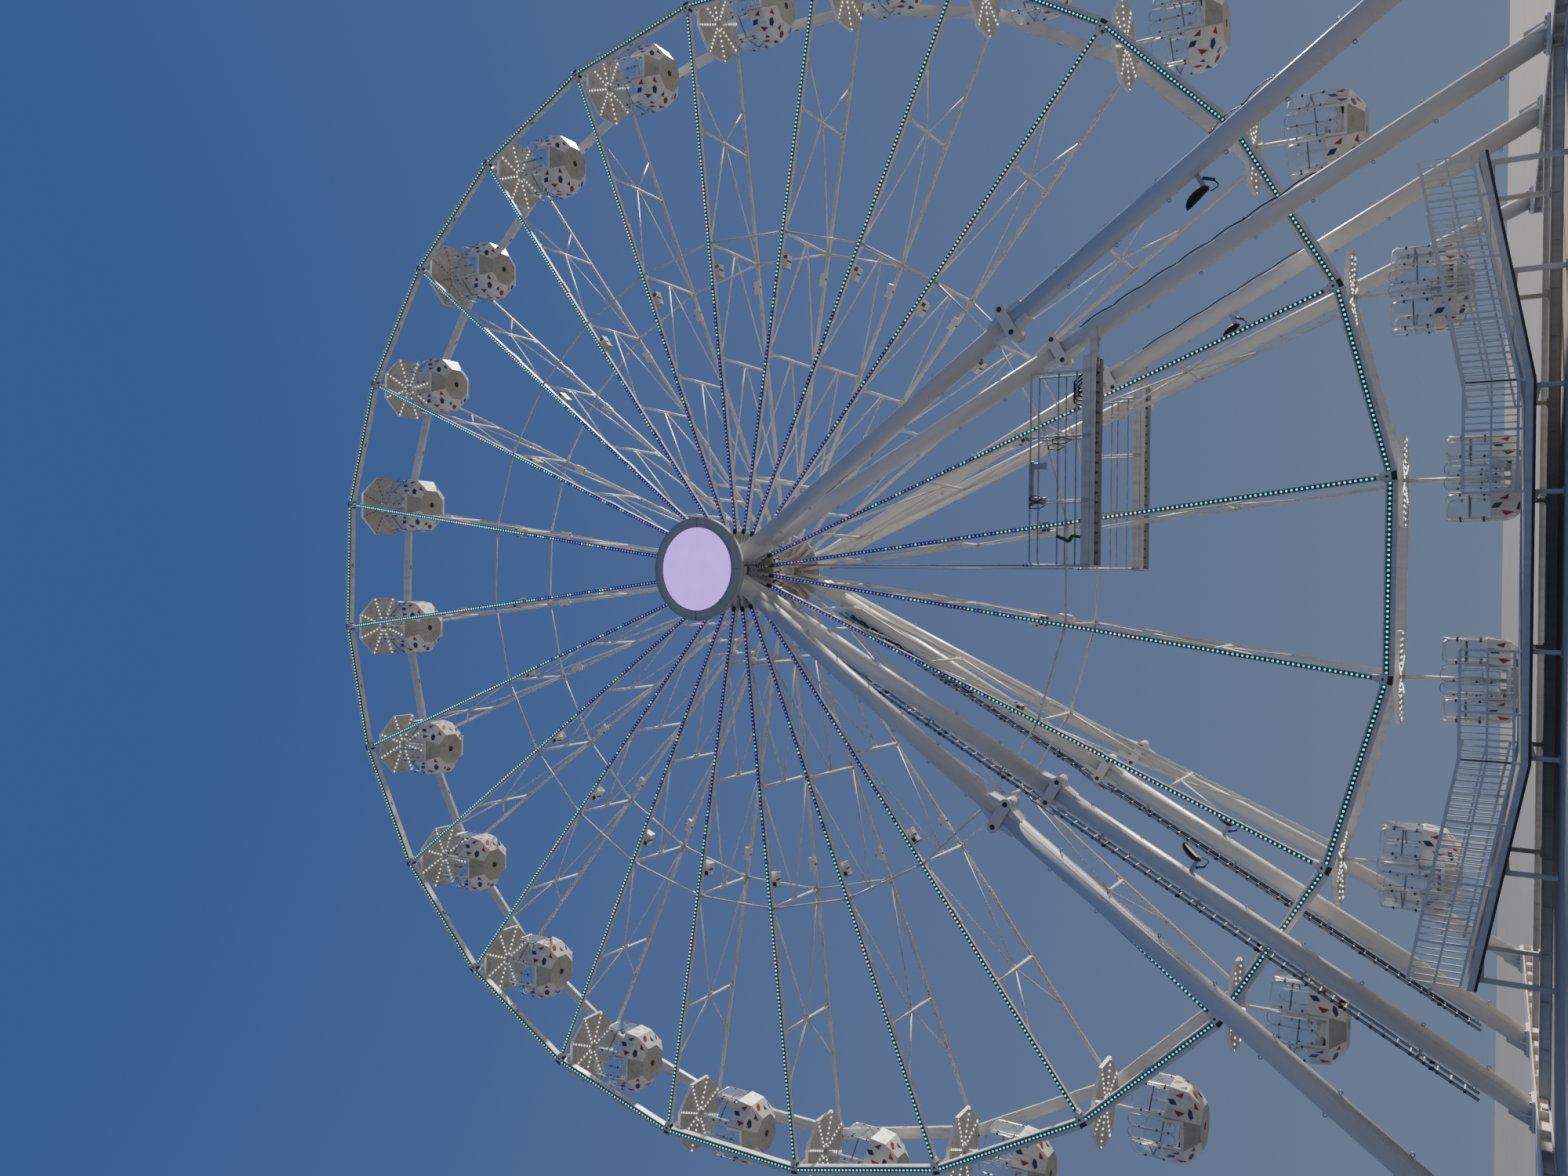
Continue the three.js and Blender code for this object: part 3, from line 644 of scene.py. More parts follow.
def rim_corner(depth, high_r):
    """Forked bracket with its pin at a corner of a rim, in the frame of the spoke."""
    bm = bmesh.new()
    low, high = (-0.12, depth[0] + 0.02, RIM_LOW - 0.04), (0.12, depth[1] - 0.02, high_r - 0.03)
    # Dark core between the ends of the two rim sides: painted shade of the gap at the corner.
    block(bm, low, high, "dark_steel", 0.008)
    outline = [(-0.085, -0.10), (-0.05, -0.19), (0.05, -0.19), (0.085, -0.10), (0.085, 0.11), (-0.085, 0.11)]
    for y in (depth[0] - 0.008, depth[1] + 0.008):
        plate(bm, [(x, y, RIM_LOW + up) for x, up in outline], 0.014, BACK, "paint_clean")
    rod(bm, (0, depth[0] - 0.03, RIM_LOW + 0.02), (0, depth[1] + 0.02, RIM_LOW + 0.02), 0.032, "dark_steel")
    for across in (-0.055, 0.055):
        bolt(bm, (across, depth[0] - 0.015, RIM_LOW - 0.08), -BACK, 0.014, 0.014)
    return mesh_of(bm)


def make_rim(depth, name):
    side = rim_side(depth, RIM_HIGH[name], name == "front")
    corner = rim_corner(depth, RIM_HIGH[name])
    bm = bmesh.new()
    for i in range(SPOKES):
        add_mesh(bm, side, wheel_place((i + 0.5) * STEP), keep=True)
        add_mesh(bm, corner, wheel_place(i * STEP), keep=True)
    piece(f"{name}_rim", bm, "wheel")


# Spokes

def gusset(bm, y, inwards, radius):
    """Triangular node plate at a chord with its bolts."""
    tip = y + inwards * 0.17
    corners = [(0, y, radius - 0.2), (0, y, radius + 0.2), (0, tip, radius + 0.06), (0, tip, radius - 0.06)]
    plate(bm, corners, 0.016, RIGHT, "paint")
    for offset, side in product((-0.09, 0.09), (1, -1)):
        bolt(bm, (side * 0.008, y + inwards * 0.05, radius + offset), (side, 0, 0), 0.018, 0.018)


def side_plates(bm, depth, half, span, thick, proud, round_by, bolts, head):
    """Bolted plates on both sides of a chord, between two radii."""
    for side in (-1, 1):
        outer = side * (half + thick)
        low, high = (side * half, depth[0] - proud, span[0]), (outer, depth[1] + proud, span[1])
        block(bm, low, high, "paint_clean", round_by)
        for radius in bolts:
            bolt(bm, (outer, sum(depth) / 2, radius), (side, 0, 0), *head)


def chord(bm, depth, half, sunk):
    """Chord of a spoke with sunk sides, its splices, and its end plates at the hub."""
    faces = block(bm, (-half, depth[0], CHORD_START), (half, depth[1], CHORD_END), "paint")
    sides = [face for face in faces if abs(face.calc_center_median().x) > half * 0.8]
    bmesh.ops.inset_individual(bm, faces=sides, thickness=0.014, depth=-sunk)
    for radius in CHORD_SPLICES:
        bolts = spread(radius - 0.165, radius + 0.165, 3)
        span = (radius - 0.22, radius + 0.22)
        side_plates(bm, depth, half, span, 0.01, -0.012, 0.003, bolts, (0.016, 0.014))
    bolts = spread(1.1, 1.52, 3)
    side_plates(bm, depth, half, (1.02, 1.52), 0.016, 0.005, 0.004, bolts, (0.024, 0.02))


def spoke_mesh(seed):
    """Spoke truss with its lamps, in the frame of the spoke."""
    bm = bmesh.new()
    chord(bm, CHORD_FRONT, CHORD_HALF["front"], 0.010)
    chord(bm, CHORD_REAR, CHORD_HALF["rear"], 0.012)
    low, high = (-0.040, STRIP_Y, STRIP_START), (0.040, CHORD_FRONT[0] + 0.002, CHORD_END - 0.12)
    block(bm, low, high, "strip", 0.004)
    insides = ((CHORD_FRONT[1], 1), (CHORD_REAR[0], -1))
    middle = (CHORD_FRONT[1] + CHORD_REAR[0]) / 2
    for radius in RUNG_RADII:
        rod(bm, (0, CHORD_FRONT[1], radius), (0, CHORD_REAR[0], radius), 0.04, "paint")
        outline = [(-0.16, -0.1), (0.16, -0.1), (0.1, 0.03), (-0.1, 0.03)]
        plate(bm, [(0, middle + y, radius + up) for y, up in outline], 0.014, RIGHT, "paint")
        for y, inwards in insides:
            gusset(bm, y, inwards, radius)
    for y, inwards in insides:
        tip = middle - inwards * 0.03
        for low, high in zip(RUNG_RADII, RUNG_RADII[1:]):
            rod(bm, (0, y, low + 0.05), (0, tip, high - 0.03), BRACE_R, "paint", 8)
        rod(bm, (0, tip, RUNG_RADII[-1] + 0.03), (0, y, BRACE_END_R), BRACE_R, "paint", 8)
    add_fittings(bm)
    start, end = STRIP_START + 0.06, CHORD_END - 0.2
    count = int((end - start) / LED_PITCH) + 1
    led_row(bm, (0, STRIP_Y, start), (0, STRIP_Y, end), spoke_colours(count, seed))
    return mesh_of(bm)


def floodlight(bm, depth, size, lens):
    """Box floodlight beside a chord, in the frame of the spoke, its lens towards the rim."""
    wide, deep, tall = (value / 2 for value in size)
    low, high = FLOODLIGHT_R - tall, FLOODLIGHT_R + tall
    layers = [(1, low, high, "paint_clean", 0.012), (1.04, low, low + 0.03, "cream", 0.006)]
    if lens:
        layers.append((0.9, high - 0.01, high + 0.016, "dark_steel", 0.004))
        front, half = depth - deep, wide * 0.8
        block(bm, (-half, front - 0.006, high - 0.13), (half, front + 0.01, high - 0.02), "dark_steel")
    for share, bottom, top, name, round_by in layers:
        post(bm, 0, depth, (wide * share, deep * share), bottom, top, name, round_by)
    for side in (-1, 1):
        x = side * (wide + 0.01)
        start, end = (x, depth - deep * 1.3, FLOODLIGHT_R), (x, depth + deep * 0.5, FLOODLIGHT_R)
        beam(bm, start, end, 0.012, 0.04, "dark_steel", UP)


def add_fittings(bm):
    """Floodlights inside the ring, the lamp strip's connector at the hub, and the front chord's end plate."""
    floodlight(bm, CHORD_FRONT[1] + 0.24, (0.28, 0.24, 0.40), True)
    floodlight(bm, CHORD_REAR[0] - 0.10, (0.22, 0.10, 0.40), False)
    low, high = (-0.052, STRIP_Y - 0.045, CHORD_START - 0.07), (0.052, STRIP_Y + 0.02, CHORD_START + 0.065)
    block(bm, low, high, "black_cable", 0.014)
    near, far = STRIP_Y - 0.02, STRIP_Y - 0.05
    wire(bm, [(0, near, CHORD_START - 0.05), (0.05, far, 1.0), (0.03, near, 0.86)], 0.012, "black_cable")
    low, high = (-0.075, CHORD_FRONT[0] - 0.006, CHORD_END - 0.12), (0.075, CHORD_FRONT[1], CHORD_END)
    block(bm, low, high, "paint_clean", 0.006)


def ring_tie(bm, angle, y):
    """Round tie from one spoke to the next at the ring, with flattened ends."""
    first = wheel_place(angle) @ Vector((CHORD_HALF["front"], y, RING_R))
    second = wheel_place(angle + STEP) @ Vector((-CHORD_HALF["front"], y, RING_R))
    rod(bm, first, second, 0.030, "paint", 10)
    way = (second - first).normalized()
    for start, along in ((first, way), (second, -way)):
        beam(bm, start - along * 0.03, start + along * 0.16, 0.09, 0.018, "paint_clean")
        bolt(bm, start + along * 0.06 - BACK * 0.009, -BACK, 0.02, 0.02)


def make_spokes():
    patterns = [spoke_mesh(seed) for seed in (3, 8, 21)]
    count = SPOKES // SPOKE_GROUPS
    for group in range(SPOKE_GROUPS):
        bm = bmesh.new()
        for i in range(group * count, (group + 1) * count):
            for depth in (CHORD_FRONT, CHORD_REAR):
                ring_tie(bm, i * STEP, sum(depth) / 2)
            add_mesh(bm, patterns[i % len(patterns)], wheel_place(i * STEP), keep=True)
        piece(f"spokes_{group + 1}", bm, "wheel")


# Hub

def add_flange(bm, y):
    """Flange at one end of the hub, with a rib for each spoke and two rings of bolts on both faces."""
    disc(bm, y - 0.06, y + 0.06, FLANGE_R, "tub_under")
    for side in (-1, 1):
        disc(bm, y + side * 0.06, y + side * 0.075, BOSS_R, "paint_clean")
        low, high = (-0.052, y + side * 0.05, 0.60), (0.052, y + side * 0.085, FLANGE_R + 0.01)
        for i in range(SPOKES):
            block(bm, low, high, "paint", 0.006, Matrix.Rotation(i * STEP, 4, "Y"))
            for radius, height in ((0.54, 0.075), (0.98, 0.06)):
                place = around((i + 0.5) * STEP) * radius + BACK * (y + side * height)
                bolt(bm, place, BACK * side, 0.026, 0.022)


def make_hub():
    bm = bmesh.new()
    for depth in (CHORD_FRONT, CHORD_REAR):
        add_flange(bm, sum(depth) / 2)
    disc(bm, *DRUM, DRUM_R, "paint")
    for y in (-0.9, -0.3, 0.3, 0.9):
        disc(bm, y - 0.03, y + 0.03, DRUM_R + 0.05, "paint_clean")
    outline = [(0.44, 0), (1.08, 0), (0.46, 0.7), (0.44, 0.7)]
    for i in range(SPOKES // 2):
        angle = (2 * i + 0.5) * STEP
        for y, inwards in ((-1.335, 1), (1.28, -1)):
            corners = [around(angle) * radius + BACK * (y + inwards * reach) for radius, reach in outline]
            plate(bm, corners, 0.02, around(angle + QUARTER), "paint")
    disc(bm, -SHAFT_HALF, SHAFT_HALF, SHAFT_R, "galvanised")
    disc(bm, -1.78, -1.50, 0.34, "dark_steel")
    for step in range(5):
        disc(bm, step * 0.06 - 1.76, step * 0.06 - 1.74, 0.38, "galvanised")
    disc(bm, 1.42, 1.70, 0.32, "paint_clean")
    bmesh.ops.transform(bm, matrix=wheel_place(), verts=list(bm.verts))
    add_hub_gear(bm)
    piece("hub_drum", bm, "wheel", "hub_detail")


def add_hub_gear(bm):
    """Connection boxes, a banded coil of cable and hanging loops below the front end of the hub."""
    y = CHORD_FRONT[1] + 0.10
    for x, size in ((-0.34, 0.17), (-0.12, 0.14), (0.30, 0.12)):
        post(bm, x, y + 0.08, (size / 2, 0.08), HUB_Z - 1.02, HUB_Z - 0.56, "black_cable", 0.02)
    for step in range(9):
        top = Vector((0.12 + 0.02 * math.sin(step * 0.9), y - 0.34, HUB_Z - 0.62 - step * 0.045))
        rod(bm, top, top - UP * 0.045, 0.055, "black_cable" if step % 2 else "cream")
    for step in range(10):
        x = -0.62 + step * 0.13
        drop = 0.24 + 0.12 * math.sin(step * 2.3)
        bends = [(0, 0, 0.95), (0.10, 0.05, 1.05 + drop), (0.20, 0.1, 1.0 + drop * 0.4), (0.16, 0.2, 0.9)]
        wire(bm, [(x + across, y + back, HUB_Z - down) for across, back, down in bends], 0.016, "black_cable")


# Cabins

def turned_octagon(profile, name):
    """Eight-sided turned shape from half widths across the flats and heights, by spinning its profile."""
    bm = bmesh.new()
    verts = [bm.verts.new(corner_way(0) * flat * TO_CORNER + UP * up) for flat, up in profile]
    edges = [bm.edges.new(pair) for pair in zip(verts, verts[1:])]
    bmesh.ops.spin(
        bm, geom=verts + edges, cent=(0, 0, 0), axis=UP, angle=2 * math.pi, steps=8, use_merge=True,
    )
    bmesh.ops.remove_doubles(bm, verts=list(bm.verts), dist=1e-5)
    bmesh.ops.recalc_face_normals(bm, faces=list(bm.faces))
    shade(bm.faces, name)
    return bm


def facet_frame(number):
    """Frame of a facet of the cabin: its -Y points out, X across it, Z up; facet 0 faces the front."""
    return Matrix.Rotation(number * EIGHTH, 4, "Z")


def corner_way(number):
    """Direction of a corner of the cabin."""
    angle = (number + 0.5) * EIGHTH
    return Vector((math.cos(angle), math.sin(angle), 0))


def tub_mesh():
    """Tub of the cabin with its floor and doorways."""
    top, crease, low = TUB_FLATS["top"], TUB_FLATS["crease"], TUB_FLATS["bottom"]
    bm = turned_octagon([
        (MIDDLE_R, TUB_BOTTOM), (low, TUB_BOTTOM), (crease, TUB_CREASE), (top, TUB_TOP),
        (top - TUB_WALL, TUB_TOP), (crease - TUB_WALL, TUB_CREASE + 0.01), (low, TUB_FLOOR),
        (MIDDLE_R, TUB_FLOOR),
    ], "tub")
    for face in bm.faces:
        centre, normal = face.calc_center_median(), face.normal
        facet = round(math.atan2(centre.x, -centre.y) / EIGHTH) % 8
        outwards = normal.x * centre.x + normal.y * centre.y > 0.1
        if normal.z < -0.9 or (outwards and facet in DOOR_FACETS):
            face.material_index = slot_of("tub_under")
        if normal.z > 0.9 and centre.z < TUB_CREASE:
            face.material_index = slot_of("tread")
    cut_doorways(bm)
    return mesh_of(bm)


def cut_doorways(bm):
    """Takes the front and rear doorways out of the tub's walls and closes the cut edges."""
    planes = [((-DOOR_HALF, 0, 0), RIGHT), ((DOOR_HALF, 0, 0), RIGHT), ((0, 0, DOOR_SILL), UP)]
    for place, normal in planes:
        everything = [*bm.verts, *bm.edges, *bm.faces]
        bmesh.ops.bisect_plane(bm, geom=everything, plane_co=place, plane_no=normal, dist=1e-5)
    gone = []
    for face in bm.faces:
        centre = face.calc_center_median()
        if abs(centre.x) < DOOR_HALF and centre.z > DOOR_SILL and abs(centre.y) > 0.6:
            gone.append(face)
    bmesh.ops.delete(bm, geom=gone, context="FACES")
    edges = [edge for edge in bm.edges if edge.is_boundary]
    shade(bmesh.ops.holes_fill(bm, edges=edges, sides=0)["faces"], "tub")
    bmesh.ops.recalc_face_normals(bm, faces=list(bm.faces))


def canopy_mesh():
    """Canopy: a fascia round a low hipped roof, closed below by a flat underside."""
    flat, under, roof = CANOPY_FLAT, CANOPY_LOW + 0.03, CANOPY_HIGH + 0.05
    bm = turned_octagon([
        (MIDDLE_R, under), (flat - 0.03, under), (flat - 0.03, CANOPY_LOW), (flat, CANOPY_LOW),
        (flat, CANOPY_HIGH), (flat - 0.02, CANOPY_HIGH + 0.006), (0.2, roof), (MIDDLE_R, roof),
    ], "paint_clean")
    for face in bm.faces:
        if face.normal.z < -0.9:
            face.material_index = slot_of("canopy_under")
        elif face.normal.z > 0.5:
            face.material_index = slot_of("paint")
    return mesh_of(bm)


def add_canopy(bm, lens_name):
    """Canopy with its ribs and rows of lamps along the seams of the underside."""
    add_mesh(bm, canopy_mesh())
    lens = lens_mesh(lens_name, 8, 0.014, math.pi, (0.012, 0.006))
    reach = CANOPY_FLAT * TO_CORNER - 0.05
    under = UP * (CANOPY_LOW + 0.027)
    for row in range(8):
        way = corner_way(row)
        beam(bm, way * 0.12 + under, way * reach + under, 0.014, 0.008, "tub_under", UP)
        for step in range(7):
            place = way * (0.19 + 0.15 * step) + under - UP * 0.004
            add_mesh(bm, lens, Matrix.Translation(place), keep=True)
    bpy.data.meshes.remove(lens)


def add_hanger(bm):
    """Axle between the rims, and the white bracket with gussets on the canopy."""
    disc(bm, *AXLE, AXLE_R, "paint", 16)
    post(bm, 0, 0, (0.16, 0.16), CANOPY_HIGH + 0.045, CANOPY_HIGH + 0.075, "paint_clean", 0.006)
    outline = [(-0.13, -0.05), (0.13, -0.05), (0.075, 0.075), (-0.075, 0.075)]
    for sense in (-1, 1):
        plate(bm, [(x, sense * 0.11, up) for x, up in outline], 0.02, BACK, "paint_clean")
        outer = [(0.12, -0.05), (0.74, -0.075), (0.74, -0.05), (0.12, 0.05)]
        plate(bm, [(0, sense * y, up) for y, up in outer], 0.016, RIGHT, "cream")
        outer = [(0.13, -0.05), (0.58, -0.07), (0.58, -0.05), (0.13, 0.03)]
        plate(bm, [(sense * x, 0, up) for x, up in outer], 0.016, BACK, "cream")
    for y in (-1.30, 1.22):
        disc(bm, y, y + 0.04, 0.085, "galvanised", 16)


def framed_pane(bm, place, middle, half, low, high, foot, radius):
    """Pane in a rounded chrome frame on a facet, about a place across it."""
    wire(bm, hoop(place, middle, half, low, high), radius, "chrome", closed=True, smooth=False)
    centre, top = (foot + GLASS_TOP - 0.03) / 2, GLASS_TOP - 0.03
    lump(bm, (middle, -RAIL_FLAT, centre), (half - 0.02, 0.005, top - centre), "pane", 0.0, place)


def add_rails(bm):
    """Panes, hoops and rails of the open part of the cabin."""
    rail = RAIL_FLAT - 0.06
    for number in range(8):
        place = facet_frame(number)
        if number in DOOR_FACETS:
            half = DOOR_HALF / 2 - 0.012
            for middle in (-DOOR_HALF / 2, DOOR_HALF / 2):
                framed_pane(bm, place, middle, half, -2.16, GLASS_TOP + 0.04, -2.10, 0.014)
                for up in (-2.0, -1.72, -1.28):
                    spot = (middle - half + 0.009, -RAIL_FLAT, up)
                    lump(bm, spot, (0.021, 0.02, 0.02), "dark_steel", 0.004, place)
        else:
            half = RAIL_FLAT * TO_SIDE - 0.05
            framed_pane(bm, place, 0, half, TUB_TOP - 0.04, GLASS_TOP, TUB_TOP, 0.015)
            for across, up in product((-half, half), (-1.78, -1.32)):
                lump(bm, (across, -RAIL_FLAT, up), (0.025, 0.024, 0.022), "dark_steel", 0.004, place)
            ends = [place @ Vector((side * rail * TO_SIDE, -rail, MID_RAIL)) for side in (-1, 1)]
            rod(bm, *ends, 0.017, "dark_steel", 8)
        edge = corner_way(number) * (RAIL_FLAT * TO_CORNER - 0.02)
        rod(bm, edge + UP * (TUB_TOP - 0.05), edge + UP * (GLASS_TOP - 0.06), 0.016, "paint_clean", 8)


def add_door_frames(bm):
    """Pale sill frames of the two doorways."""
    top, crease = TUB_FLATS["top"], TUB_FLATS["crease"]
    flat = crease + (TUB_CREASE - DOOR_SILL) / (TUB_CREASE - TUB_TOP) * (top - crease)
    edge, wide = DOOR_HALF + 0.02, DOOR_HALF + 0.05
    for number in DOOR_FACETS:
        place = facet_frame(number)
        low, high = (-wide, -flat - 0.035, DOOR_SILL - 0.055), (wide, 0.06 - flat, DOOR_SILL + 0.012)
        block(bm, low, high, "cream", 0.01, place)
        for side in (-1, 1):
            low = place @ Vector((side * edge, -flat - 0.005, DOOR_SILL - 0.02))
            high = place @ Vector((side * edge, -top - 0.002, TUB_TOP + 0.03))
            beam(bm, low, high, 0.065, 0.06, "cream", place.to_3x3() @ BACK, 0.01)


def add_motifs(bm):
    """Plain coloured shapes on the six closed facets, three in the upper row and two in the lower."""
    top, crease, low = TUB_FLATS["top"], TUB_FLATS["crease"], TUB_FLATS["bottom"]
    upper = ((top + crease) / 2, math.atan2(top - crease, TUB_TOP - TUB_CREASE))
    lower = ((crease + low) / 2, math.atan2(crease - low, TUB_CREASE - TUB_BOTTOM))
    for number in CLOSED_FACETS:
        names = ("red", "navy") if number % 2 else ("navy", "red")
        shapes = [
            (upper, -0.21, -0.012, -2.22, 0.15, 3, 0.5 + number),
            (upper, 0.03, 0.016, -2.02, 0.135, 4, 1.2 * number),
            (upper, 0.24, -0.006, -2.18, 0.13, 3, 2.1 * number),
            (lower, -0.12, 0.07, -2.46, 0.14, 5, 0.4 * number),
            (lower, 0.13, -0.02, -2.54, 0.125, 3, 0.9 * number),
        ]
        for index, (row, across, shift, up, size, sides, turn) in enumerate(shapes):
            out, lean = row
            panel = Matrix.Translation((across, -out - shift, up)) @ Matrix.Rotation(lean + QUARTER, 4, "X")
            shape = Matrix.Rotation(turn, 4, "Z") @ Matrix.Diagonal((size, size * 0.6, 1, 1))
            made = bmesh.ops.create_cone(
                bm, cap_ends=True, segments=sides, radius1=1, radius2=1, depth=0.006,
                matrix=facet_frame(number) @ panel @ shape,
            )
            shade(faces_of(made), names[index % 2])


def add_interior(bm):
    """Centre pole with its hand wheel, bench round the wall, and the cap under the floor."""
    rounds = [
        (TUB_FLOOR - 0.02, CANOPY_LOW + 0.04, 0.05, "paint_clean", 16), (-1.84, -1.80, 0.24, "chrome", 24),
        (TUB_FLOOR, TUB_FLOOR + 0.03, 0.13, "galvanised", 16),
        (CANOPY_LOW - 0.02, CANOPY_LOW + 0.02, 0.15, "canopy_under", 16),
        (TUB_BOTTOM - 0.004, TUB_BOTTOM + 0.01, 0.095, "black_cable", 16),
    ]
    for low, high, radius, name, sides in rounds:
        rod(bm, UP * low, UP * high, radius, name, sides)
    seat = (0.52, 0.52), (0.87, 0.87), -2.185, 0.05, "cream"
    riser = (0.6, 0.56), (0.6, 0.60), -2.395, 0.37, "tub"
    for number, ((near, inner), (far, outer), up, thick, name) in product(CLOSED_FACETS, (seat, riser)):
        outline = [(-near, -inner), (near, -inner), (far, -outer), (-far, -outer)]
        corners = [facet_frame(number) @ Vector((half * TO_SIDE, y, up)) for half, y in outline]
        plate(bm, corners, thick, UP, name)


def cabin_mesh(lens_name):
    bm = bmesh.new()
    add_mesh(bm, tub_mesh())
    add_canopy(bm, lens_name)
    add_hanger(bm)
    add_rails(bm)
    add_door_frames(bm)
    add_motifs(bm)
    add_interior(bm)
    return mesh_of(bm)


def make_cabins():
    patterns = {name: cabin_mesh(name) for name in ("lamp_white", "lamp_off")}
    for i in range(SPOKES):
        pivot = around(WHEEL_TURN + i * STEP) * PIVOT_R + UP * HUB_Z
        lens_name = "lamp_off" if i + 1 in UNLIT_CABINS else "lamp_white"
        bm = bmesh.new()
        add_mesh(bm, patterns[lens_name], Matrix.Translation(pivot), keep=True)
        name = f"cabin_{i + 1:02d}"
        piece(name, bm, name)


# Legs and bearing heads

def leg_ends(depth_side, x_side, place):
    return Vector((0, depth_side * HEAD_Y, HUB_Z)), Vector((x_side * FOOT_X, depth_side * FOOT_Y[place], 0))


def end_of(depth_side):
    return "front" if depth_side < 0 else "rear"


def eyelet(bm, place, along, out):
    """Lifting eye on a tube."""
    centre = place + out * EYELET_R * 1.1
    turns = [step * EIGHTH for step in range(8)]
    points = [centre + (along * math.cos(turn) + out * math.sin(turn)) * EYELET_R for turn in turns]
    wire(bm, points, 0.010, "galvanised", closed=True, smooth=False)


def festoon(bm, top, foot, side, radius, cable):
    """Cable that is tied to a leg at regular steps and sags in loops between them."""
    begin, finish, loop, drop, size, colour, sense = cable
    side = side * sense
    count = max(1, int((finish - begin) * (foot - top).length / loop))
    sag = (side * 0.3 - BACK * 0.8 if side.z >= 0 else -UP) * drop
    ties = [top.lerp(foot, share) + side * (radius + 0.02) for share in spread(begin, finish, count)]
    points = []
    for first, last in zip(ties, ties[1:]):
        lump(bm, first, (0.03, 0.03, 0.03), "dark_steel", 0.008)
        points.append(first)
        for share, depth in ((0.25, 0.7), (0.5, 1), (0.75, 0.75)):
            points.append(first.lerp(last, share) + sag * depth)
    wire(bm, points + ties[-1:], size, colour)


def lamp_shell():
    """Deep dome over a lens that faces down."""
    bm = bmesh.new()
    size = Matrix.Diagonal((0.17, 0.29, 0.17, 1))
    bmesh.ops.create_uvsphere(bm, u_segments=20, v_segments=10, radius=1, matrix=size)
    shade(bm.faces, "black_cable", True)
    everything = [*bm.verts, *bm.edges, *bm.faces]
    bmesh.ops.bisect_plane(bm, geom=everything, plane_co=(0, 0, 0.001), plane_no=-UP, clear_outer=True)
    cap = bmesh.ops.holes_fill(bm, edges=[edge for edge in bm.edges if edge.is_boundary], sides=0)["faces"]
    shade(cap, "cream")
    rim = bmesh.ops.inset_individual(bm, faces=cap, thickness=0.06, depth=-0.012)["faces"]
    shade(rim, "dark_steel")
    bmesh.ops.recalc_face_normals(bm, faces=list(bm.faces))
    return mesh_of(bm)


def dish_lamp(bm, place, out, radius):
    """Lamp on a square arm: a shell that rises from the arm's end, its lens towards the middle and down."""
    end = place + out * (radius + LAMP_ARM)
    beam(bm, place + out * (radius - 0.03), end, 0.09, 0.09, "galvanised", BACK, 0.008)
    rise = Vector((out.x, 0, 0.91)).normalized()
    lens = Vector((math.copysign(rise.z, out.x), LAMP_LEAN if out.x < 0 else 0.04, -abs(rise.x)))
    middle = end + rise * 0.20 - out * 0.02
    add_mesh(bm, lamp_shell(), placed(middle, middle - lens, rise)[0])
    rod(bm, end - out * 0.06, middle - rise * 0.14 - lens * 0.07, 0.06, "dark_steel", 10)
    plug = place + out * (radius + 0.10) + Vector((0, -0.02, -0.07))
    rod(bm, plug, plug + Vector((out.x * 0.08, -0.02, -0.22)), 0.032, "blue_cable", 10)
    points = [
        plug + Vector((out.x * 0.08, -0.02, -0.20)), plug + Vector((out.x * 0.20, -0.04, -0.30)),
        end + Vector((-out.x * 0.05, -0.03, -0.20)), end - UP * 0.06,
    ]
    wire(bm, points, 0.012, "black_cable")


def oblong(centre, across, along, half, radius):
    """Corners of a plate with two rounded ends."""
    corners = []
    for sense, turn in product((1, -1), spread(-QUARTER, QUARTER, 8)):
        reach = across * (half + radius * math.cos(turn)) + along * radius * math.sin(turn)
        corners.append(centre + reach * sense)
    return corners


def leg_joint(bm, centre, along, radius):
    """Bolted joint: flared plates on both tubes, round bosses beside them and a link in front and behind."""
    level = Vector((along.x, 0, along.z)).normalized()
    across = Vector((-level.z, 0, level.x))
    wide, slim = across * (JOINT_PIN - 0.02), across * radius * 0.97
    for way in (-along, along):
        near, bend, far = (centre + way * reach for reach in (0.03, 0.12, 0.52))
        corners = [near - wide, near + wide, bend + wide, far + slim, far - slim, bend - wide]
        plate(bm, corners, 0.38, BACK, "leg_paint")
        rod(bm, centre + way * 0.012, centre + way * 0.045, radius + 0.05, "leg_paint", 32)
    for out in (-BACK, BACK):
        link = oblong(centre + out * 0.275, across, level, JOINT_PIN, JOINT_END_R)
        plate(bm, link, 0.03, BACK, "leg_paint")
    for pin in (centre - across * JOINT_PIN, centre + across * JOINT_PIN):
        rod(bm, pin - BACK * 0.255, pin + BACK * 0.255, JOINT_END_R - 0.012, "leg_paint", 24)
        rod(bm, pin - BACK * 0.30, pin + BACK * 0.30, 0.060, "dark_steel", 20)
        for out in (-BACK, BACK):
            rod(bm, pin + out * 0.288, pin + out * 0.296, 0.088, "paint_clean", 24)


def add_foot(bm, place):
    """Bolted foot plate of a leg with its four gussets."""
    base = Vector((place.x, place.y, BEAM_HEIGHT + FOOT_PLATE))
    post(bm, base.x, base.y, (0.32, 0.32), BEAM_HEIGHT, base.z, "paint_clean", 0.01)
    for x, y in product((-0.25, 0.25), repeat=2):
        bolt(bm, base + Vector((x, y, 0)), UP, 0.04, 0.04)
    for way in (RIGHT, -RIGHT, BACK, -BACK):
        corners = [base + way * 0.1, base + way * 0.31, base + way * 0.12 + UP * 0.4, base + UP * 0.4]
        plate(bm, corners, 0.025, way.cross(UP), "paint")


